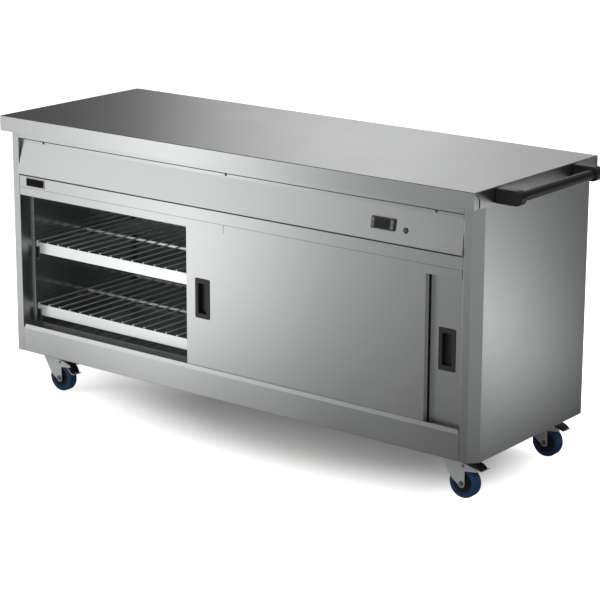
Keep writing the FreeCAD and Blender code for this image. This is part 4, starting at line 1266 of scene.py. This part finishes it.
# ------------------------------------------------------------------ control panel
@dataclass
class ControlPanel:
    """Temperature controller, pilot lamp, fascia screws and the plain badge plate."""

    finishes: Rack
    bezel_width: float = 77.0
    bezel_height: float = 34.0
    bezel_proud: float = 6.5
    key_across: float = 32.25
    key_up: float = 7.0
    foot_proud: float = 7.0
    fold: Flat = (-277.5, 816.0)
    # Foot of the black strip that paints the header rail's shadow on the fascia's top flange.
    shade_strip_foot: float = 825.9
    slope: float = math.degrees(math.atan2(19.0, 99.0))
    controller_offset: float = 50.5
    lamp_offset: float = 41.5
    badge_left: float = -846.5
    badge_bottom: float = 680.0
    badge_width: float = 80.6
    badge_height: float = 29.0
    front: float = 0.0
    fascia_foot: float = 0.0

    def build(self) -> None:
        """Model everything on the panel."""
        low, _ = extent("end_panel_left")
        self.front = low.y
        self.fascia_foot = extent("fascia")[0].z
        self.controller()
        self.keys()
        self.lamp()
        self.screws()
        self.badge()
        self.trims()

    def slope_place(self, x: float, offset: float) -> Matrix:
        """Place on the sloping fascia of a piece whose panel face lies in y = 0.

        Args:
            x: Where its middle goes along the panel, in millimetres.
            offset: Distance up the slope, in millimetres.

        Returns:
            Matrix, in metres.
        """
        lean = Matrix.Rotation(math.radians(-self.slope), 4, "X")
        foot = shifted((x, self.front - self.foot_proud, self.fascia_foot))
        return foot @ lean @ shifted((0, 0, offset))

    def on_slope(self, piece: bpy.types.Object, x: float, offset: float) -> None:
        """Carry a piece on to the sloping fascia, as `slope_place` says."""
        piece.matrix_world = self.slope_place(x, offset)
        settle(piece)

    def controller(self) -> None:
        """Bezel with a window in a shallow surround, and the body behind the panel."""
        x = middle("controller_case").x
        half_x, half_z, face = self.bezel_width / 2, self.bezel_height / 2, -self.bezel_proud
        bezel = block("bezel", (-half_x, face, -half_z), (half_x, -0.05, half_z))
        bevel_along(bezel, 1, 2.5, 4)
        rounded(bezel, 0.9, 3, 50)
        pocket = block("pocket", (-26.0, face - 2, -14.3), (26.0, face + 1.6, 14.3))
        bevel_along(pocket, 1, 1.2, 3)
        cut(bezel, pocket)
        for side in (-1, 1):
            for row in (-1, 1):
                key_x, key_z = side * self.key_across, row * self.key_up
                well = block("well", (key_x - 4.6, face - 2, key_z - 6.1),
                             (key_x + 4.6, face + 5.2, key_z + 6.1))
                cut(bezel, well)
        body = block("body", (-35, -0.1, -14), (35, 50, 14))
        whole = joined("controller_housing", [bezel, body])
        self.on_slope(whole, x, self.controller_offset)
        finished(whole, self.finishes.controller, "cabinet",
                 ["controller_case"])
        window = block("controller_display", (-25.9, face + 0.3, -14.2), (25.9, face + 1.7, 14.2))
        rounded(window, 0.4, 2, 50)
        self.on_slope(window, x, self.controller_offset)
        finished(window, self.finishes.window, "cabinet", ["controller_window"])

    def keys(self) -> None:
        """Four soft keys, each with a shallow dish."""
        x, face = middle("controller_case").x, -self.bezel_proud - 0.8
        key = block("soft_key", (-4.25, face, -5.75), (4.25, face + 4.8, 5.75))
        bevel_along(key, 1, 1.4, 4)
        operate(key, Domain.FACE, lambda item: item.normal.y < -0.9,
                lambda: bpy.ops.mesh.inset(thickness=1.3 * MM, depth=0),
                lambda: bpy.ops.mesh.inset(thickness=0.9 * MM, depth=-0.35 * MM))
        rounded(key, 0.3, 2, 50)
        pattern = Pattern()
        pattern.add(key, self.finishes.key, "key_{}", "key_plastic", "key_{}")
        for side, side_name in ((-1, "left"), (1, "right")):
            for row, row_name in ((-1, "lower"), (1, "upper")):
                place = self.slope_place(x + side * self.key_across,
                                         self.controller_offset + row * self.key_up)
                pattern.stand(f"{side_name}_{row_name}", place)
        pattern.clear()

    def lamp(self) -> None:
        """Pilot lamp: thin flange and a domed green lens."""
        x = middle("indicator_lamp").x
        flange = turned("lamp_flange", [(5.9, 0), (8.4, 0), (8.4, -0.9), (7.9, -1.5), (6.9, -1.7),
                                        (6.6, -1.2), (5.9, -1.2)], (0, 0, 0), steps=48)
        lens = turned("lamp_lens", [(0.01, -3.4), (2.4, -3.25), (4.4, -2.75), (6.0, -1.9),
                                    (6.5, -1.1), (5.9, 0), (5.9, 23.9), (0.01, 23.9)],
                      (0, 0, 0), steps=48)
        for piece, finish, nodes in ((flange, self.finishes.gland, []),
                                     (lens, self.finishes.lens, ["indicator_lamp"])):
            self.on_slope(piece, x, self.lamp_offset)
            finished(piece, finish, "cabinet", nodes)

    def screws(self) -> None:
        """Three domed screws with cross recesses along the fascia's top flange."""
        low, high = extent("fascia_screws")
        y, z = high.y, (low.z + high.z) / 2
        places = (low.x + 4, (low.x + high.x) / 2, high.x - 4)
        head = turned("head", [(0.01, -2.55), (1.8, -2.3), (3.0, -1.6), (3.8, -0.6), (3.9, 0),
                               (0.01, 0)], (0, 0, 0), steps=32)
        for first, second in ((2.3, 0.45), (0.45, 2.3)):
            slot = block("slot", (-first, -4, -second), (first, -1.3, second))
            cut(head, slot)
        heads = [duplicate(head, "screw", shifted((x, y, z))) for x in places]
        removed(head)
        whole = joined("fascia_screw_heads", heads)
        finished(whole, self.finishes.screw, "cabinet", ["fascia_screws"])

    def trims(self) -> None:
        """Black strips that paint shade in the gaps round the fascia, and caps on its ends."""
        low, high = extent("fascia")
        rail_low, rail_high = extent("top_rail")
        front, fold_y = self.front, self.fold[0]
        left, right = extent("end_panel_left")[1].x, extent("end_panel_right")[0].x
        cover_foot = extent("track_covers")[0].z
        # Black strips of painted shade: under the header rail, in the gap under the fascia, and at
        # the rail's and posts' joints.
        for name, low_corner, high_corner, width, segments in (
            ("fascia_top_shade_strip", (low.x + 0.5, fold_y - 1.1, self.shade_strip_foot),
             (high.x - 0.5, fold_y - 0.1, high.z + 1.4), 0.3, 2),
            ("fascia_foot_shade_strip", (low.x + 0.5, front - 0.7, rail_high.z - 1.6),
             (high.x - 0.5, front + 4.0, low.z - 0.1), 0.3, 2),
            ("rail_joint_shade_strip", (left + 1.0, front - 0.25, rail_low.z - 0.5),
             (right - 1.0, front + 0.3, rail_low.z + 0.3), 0.1, 1),
            ("post_joint_shade_left", (left - 0.5, front - 0.35, cover_foot),
             (left + 0.5, front + 0.3, high.z + 1.0), 0.1, 1),
            ("post_joint_shade_right", (right - 0.5, front - 0.35, high.z - 16.0),
             (right + 0.5, front + 0.3, high.z + 1.0), 0.1, 1),
        ):
            strip = block(name, low_corner, high_corner)
            rounded(strip, width, segments, 50)
            finished(strip, self.finishes.gland, "cabinet")
        self.caps(low, high)

    def caps(self, low: Vector, high: Vector) -> None:
        """Steel caps that close the ends of the fascia's foot.

        Args:
            low: Lowest corner of the fascia, in millimetres.
            high: Highest corner of the fascia.
        """
        fold_y, fold_z = self.fold
        crossing = low.z + (low.y - self.front) / (low.y - fold_y) * (fold_z - low.z)
        side = [(self.front, low.z + 0.2), (low.y + 0.3, low.z + 0.2), (self.front, crossing - 1)]
        for name, start, end in (("fascia_cap_left", low.x - 2.4, low.x + 1.0),
                                 ("fascia_cap_right", high.x - 1.0, high.x + 2.4)):
            cap = prism(name, side, Plane.YZ, start, end)
            finished(cap, self.finishes.sheet, "cabinet")

    def badge(self) -> None:
        """Plain enamelled plate on the left of the top rail, with a fine bare rim."""
        left, bottom = self.badge_left, self.badge_bottom
        plate = block("badge_plate", (left, self.front - 0.9, bottom),
                      (left + self.badge_width, self.front - 0.02, bottom + self.badge_height))
        bevel_along(plate, 1, 2.0, 4)
        rounded(plate, 0.25, 2, 50)
        rim_face = self.front - 1.0
        rim = block("badge_rim", (left + 0.2, rim_face, bottom + 0.2),
                    (left + self.badge_width - 0.2, self.front - 0.3,
                     bottom + self.badge_height - 0.2))
        bevel_along(rim, 1, 1.8, 4)
        inside = block("inside", (left + 2.4, rim_face - 2, bottom + 2.4),
                       (left + self.badge_width - 2.4, self.front + 2,
                        bottom + self.badge_height - 2.4))
        bevel_along(inside, 1, 1.2, 4)
        cut(rim, inside)
        finished(plate, self.finishes.badge, "cabinet")
        finished(rim, self.finishes.badge_rim, "cabinet")


# ------------------------------------------------------------------ studio
def tone(tree: bpy.types.NodeTree, source: bpy.types.NodeSocket,
         stops: Sequence[Flat]) -> bpy.types.NodeSocket:
    """Smooth curve through (place, brightness) stops.

    Args:
        tree: Node tree that it goes in.
        source: Place along the curve.
        stops: Places in rising order, each with a brightness.

    Returns:
        Brightness socket.
    """
    first, last = stops[0][0], stops[-1][0]
    peak = max(brightness for _, brightness in stops)
    ramp = add_node(tree, "ValToRGB", {"Fac": ranged(tree, source, (first, last))})
    ramp.color_ramp.interpolation = "EASE"
    elements = ramp.color_ramp.elements
    while len(elements) > 1:
        elements.remove(elements[-1])
    for index, (place, brightness) in enumerate(stops):
        at = (place - first) / (last - first)
        element = elements[0] if index == 0 else elements.new(at)
        element.position = at
        element.color = (brightness / peak, brightness / peak, brightness / peak, 1.0)
    return maths(tree, "MULTIPLY", ramp.outputs["Color"], peak)


@dataclass
class Softbox:
    """One rectangular lamp, which neither the camera nor metal sees."""

    name: str
    place: Point
    aim: Point
    width: float
    height: float
    power: float

    def build(self) -> None:
        """Create the lamp and point it."""
        lamp = bpy.data.lights.new(self.name, "AREA")
        lamp.shape, lamp.size, lamp.size_y = "RECTANGLE", self.width, self.height
        lamp.energy = self.power
        holder = bpy.data.objects.new(self.name, lamp)
        bpy.context.scene.collection.objects.link(holder)
        holder.location = self.place
        away = Vector(self.aim) - Vector(self.place)
        holder.rotation_euler = away.to_track_quat("-Z", "Z").to_euler()
        holder.visible_camera = False
        holder.visible_glossy = False


@dataclass
class Studio:
    """Pale floor, soft lamps, a plain surround and the camera.

    The lamps light plastics, rubber and the floor. Metal sees the room instead: a bright
    screen at the left front, one behind at the left, and dimmer walls between them. Places
    along the walls are in degrees from the back (+Y) towards the left (-X), and their
    heights are sines of the angle above level. Places on the floor are in metres.
    """

    eye: Point = (3.80305, -4.86579, 2.11541)
    yaw: float = 0.66159
    pitch: float = 0.24340
    roll: float = 0.0036757
    focal_pixels: float = 2118.0
    frame_pixels: float = 600.0
    shift: float = -0.1
    walls: tuple[Flat, ...] = ((-180, .36), (-150, .36), (-90, .34), (-60, .34), (-42, .14),
                               (-33, .09), (-20, .12), (5, .40), (28, .60), (32, .80),
                               (36, 1.42), (39.5, 1.22), (43, .12), (47, .03), (62, .10),
                               (90, .50), (125, .60), (133, 1.0), (138, 1.8), (141.0, 2.0),
                               (143.8, .60), (146.2, .05), (165, .25), (180, .36))
    wall_fade: Flat = (0.22, 0.55)
    wall_top: float = 0.42
    ceiling_from: Flat = (0.45, 0.85)
    ceiling: float = 0.55
    ambient: float = 0.38
    front_way: Point = (-0.766, 0.642, 0.0)
    front_floor: tuple[Flat, ...] = ((-2.6, .45), (-1.9, .46), (-1.45, .42), (-1.15, .30),
                                     (-1.0, .21), (-.5, .64), (-.25, 1.34), (0.08, 2.1),
                                     (0.5, 1.1), (1.2, .62))
    side_way: Point = (0.840, -0.543, 0.0)
    side_floor: tuple[Flat, ...] = ((-1.4, .60), (-0.3, .50), (0.2, .12), (0.45, .05),
                                    (0.66, .58), (0.85, 1.9), (1.2, .9))
    side_from: Flat = (-0.35, 0.1)
    floor_depth: tuple[Flat, ...] = ((-0.4, 1.0), (-0.05, .30), (0.45, .42), (1.4, 1.30),
                                     (2.0, 1.0), (3.2, .35))
    floor_squeeze: Point = (0.62, 1.0, 1.0)
    floor_reach: tuple[Flat, ...] = ((0.6, 0.24), (1.6, 1.0), (2.6, 1.0), (3.6, 1.14))
    shadow_squeeze: Point = (0.42, 1.06, 1.0)
    shadow_move: Point = (-0.03, 0.0, 0.0)
    shadow_edge: Flat = (0.16, 0.52)
    shadow_light: float = 0.12
    shadow_end: Flat = (0.60, 0.92)
    shadow_end_light: float = 0.7

    def build(self) -> None:
        """Set up everything round the trolley."""
        self.camera()
        self.floor()
        self.surround()
        for lamp in (
            Softbox("left_front", (-3.6, -3.3, 2.4), (-0.3, 0.0, 0.5), 2.2, 2.6, 110.0),
            Softbox("overhead", (0.2, 1.0, 3.4), (0.0, 0.0, 0.0), 3.0, 2.0, 90.0),
            Softbox("right_front_fill", (2.6, -3.8, 2.2), (0.0, 0.0, 0.4), 1.4, 1.8, 60.0),
        ):
            lamp.build()

    def camera(self) -> None:
        """Camera at the picture's angle."""
        scene = bpy.context.scene
        data = bpy.data.cameras.new("picture")
        data.sensor_width = 36.0
        data.lens = self.focal_pixels / self.frame_pixels * data.sensor_width
        data.shift_y = self.shift
        data.clip_end = 100.0
        holder = bpy.data.objects.new("picture", data)
        scene.collection.objects.link(holder)
        ahead = Vector((-math.sin(self.yaw) * math.cos(self.pitch),
                        math.cos(self.yaw) * math.cos(self.pitch), -math.sin(self.pitch)))
        level = Vector((math.cos(self.yaw), math.sin(self.yaw), 0.0))
        above = level.cross(ahead)
        right = level * math.cos(self.roll) + above * math.sin(self.roll)
        up = -level * math.sin(self.roll) + above * math.cos(self.roll)
        turn = Matrix((right, up, -ahead)).transposed().to_4x4()
        holder.matrix_world = Matrix.Translation(self.eye) @ turn
        scene.camera = holder
        scene.view_settings.view_transform = "Standard"

    def floor(self) -> None:
        """Pale paper floor: lit paper, with a glow to the camera that paints its soft shadow, and
        its own tone to metal.
        """
        clear_selection()
        bpy.ops.mesh.primitive_plane_add(size=60, location=(0, 0, 0))
        ground = claim("studio_floor")
        made = bpy.data.materials.new("white_paper_floor")
        made.use_nodes = True
        tree = made.node_tree
        tree.nodes.clear()
        path = add_node(tree, "LightPath").outputs
        place = add_node(tree, "TexCoord").outputs["Object"]
        parts = add_node(tree, "SeparateXYZ", {0: place}).outputs
        paper = add_node(tree, "BsdfDiffuse", {"Color": linear("#e4e4e2")}).outputs[0]
        lift = add_node(tree, "Emission", {"Color": linear("#ffffff"),
                                           "Strength": self.lift(tree, place, parts["X"])})
        shown = add_node(tree, "AddShader", {0: paper, 1: lift.outputs[0]})
        mirror = add_node(tree, "Emission", {"Color": linear("#fbfcfc"),
                                             "Strength": self.mirrored(tree, place, parts["Y"])})
        plain = add_node(tree, "MixShader",
                         {0: path["Is Camera Ray"], 1: paper, 2: shown.outputs[0]})
        whole = add_node(tree, "MixShader", {0: path["Is Glossy Ray"], 1: plain.outputs[0],
                                             2: mirror.outputs[0]})
        add_node(tree, "OutputMaterial", {"Surface": whole.outputs[0]})
        ground.data.materials.append(made)

    def lift(self, tree: bpy.types.NodeTree, place: bpy.types.NodeSocket,
             across: bpy.types.NodeSocket) -> bpy.types.NodeSocket:
        """Glow that lifts the paper to white; it is weaker near the trolley, which paints a soft
        shadow there.

        Args:
            tree: Node tree that it goes in.
            place: Place on the floor.
            across: Its X.

        Returns:
            Strength socket.
        """
        under = vectors(tree, "MULTIPLY_ADD", place, self.shadow_squeeze, self.shadow_move)
        lifted = ranged(tree, vectors(tree, "LENGTH", under), self.shadow_edge,
                        self.shadow_light, 1.0, smooth=True)
        # Painted light: the glow clears the shadow again to the right of the trolley.
        clear_right = ranged(tree, across, self.shadow_end, 0.0, self.shadow_end_light,
                             smooth=True)
        return maths(tree, "ADD", lifted, clear_right)

    def mirrored(self, tree: bpy.types.NodeTree, place: bpy.types.NodeSocket,
                 along: bpy.types.NodeSocket) -> bpy.types.NodeSocket:
        """Tone of the paper to metal: bright at the left front, dim close to the trolley.

        Args:
            tree: Node tree that it goes in.
            place: Place on the floor.
            along: Its Y.

        Returns:
            Strength socket.
        """
        front = tone(tree, vectors(tree, "DOT_PRODUCT", place, self.front_way), self.front_floor)
        side = tone(tree, vectors(tree, "DOT_PRODUCT", place, self.side_way), self.side_floor)
        seen = blend(tree, ranged(tree, along, self.side_from), front, side)
        away = vectors(tree, "LENGTH", vectors(tree, "MULTIPLY", place, self.floor_squeeze))
        near, depth = tone(tree, away, self.floor_reach), tone(tree, along, self.floor_depth)
        return maths(tree, "MULTIPLY", seen, maths(tree, "MULTIPLY", near, depth))

    def surround(self) -> None:
        """White to the camera; to metal, the screens and walls of the room, by direction."""
        world = bpy.data.worlds.new("plain_room")
        bpy.context.scene.world = world
        world.use_nodes = True
        tree = world.node_tree
        tree.nodes.clear()
        place = add_node(tree, "TexCoord").outputs["Generated"]
        parts = add_node(tree, "SeparateXYZ", {0: place}).outputs
        left = maths(tree, "MULTIPLY", parts["X"], -1.0)
        degrees = maths(tree, "MULTIPLY", maths(tree, "ARCTAN2", left, parts["Y"]),
                        180 / math.pi)
        fade = ranged(tree, parts["Z"], self.wall_fade, 1.0, self.wall_top)
        walls = maths(tree, "MULTIPLY", tone(tree, degrees, self.walls), fade)
        room = blend(tree, ranged(tree, parts["Z"], self.ceiling_from), walls, self.ceiling)
        path = add_node(tree, "LightPath").outputs
        soft = blend(tree, path["Is Glossy Ray"], self.ambient, room)
        clear = maths(tree, "MAXIMUM", path["Is Camera Ray"], path["Is Transmission Ray"])
        light = add_node(tree, "Background", {"Color": linear("#ffffff"),
                                              "Strength": blend(tree, clear, soft, 1.0)})
        add_node(tree, "OutputWorld", {"Surface": light.outputs[0]})


def main() -> None:
    """Dress the frame, model the detailed pieces and set up the studio."""
    logging.basicConfig(level=logging.INFO, format="%(message)s")
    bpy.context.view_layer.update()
    finishes = Rack()
    Casing(finishes).dress()
    CornerGussets(finishes).build()
    TopBend(finishes).build()
    FlushPull(finishes).build()
    PushHandle(finishes).build()
    Castor(finishes).build()
    for side in ("left", "right"):
        WireShelf(finishes, side).build()
    ControlPanel(finishes).build()
    Studio().build()


if __name__ == "__main__":
    main()
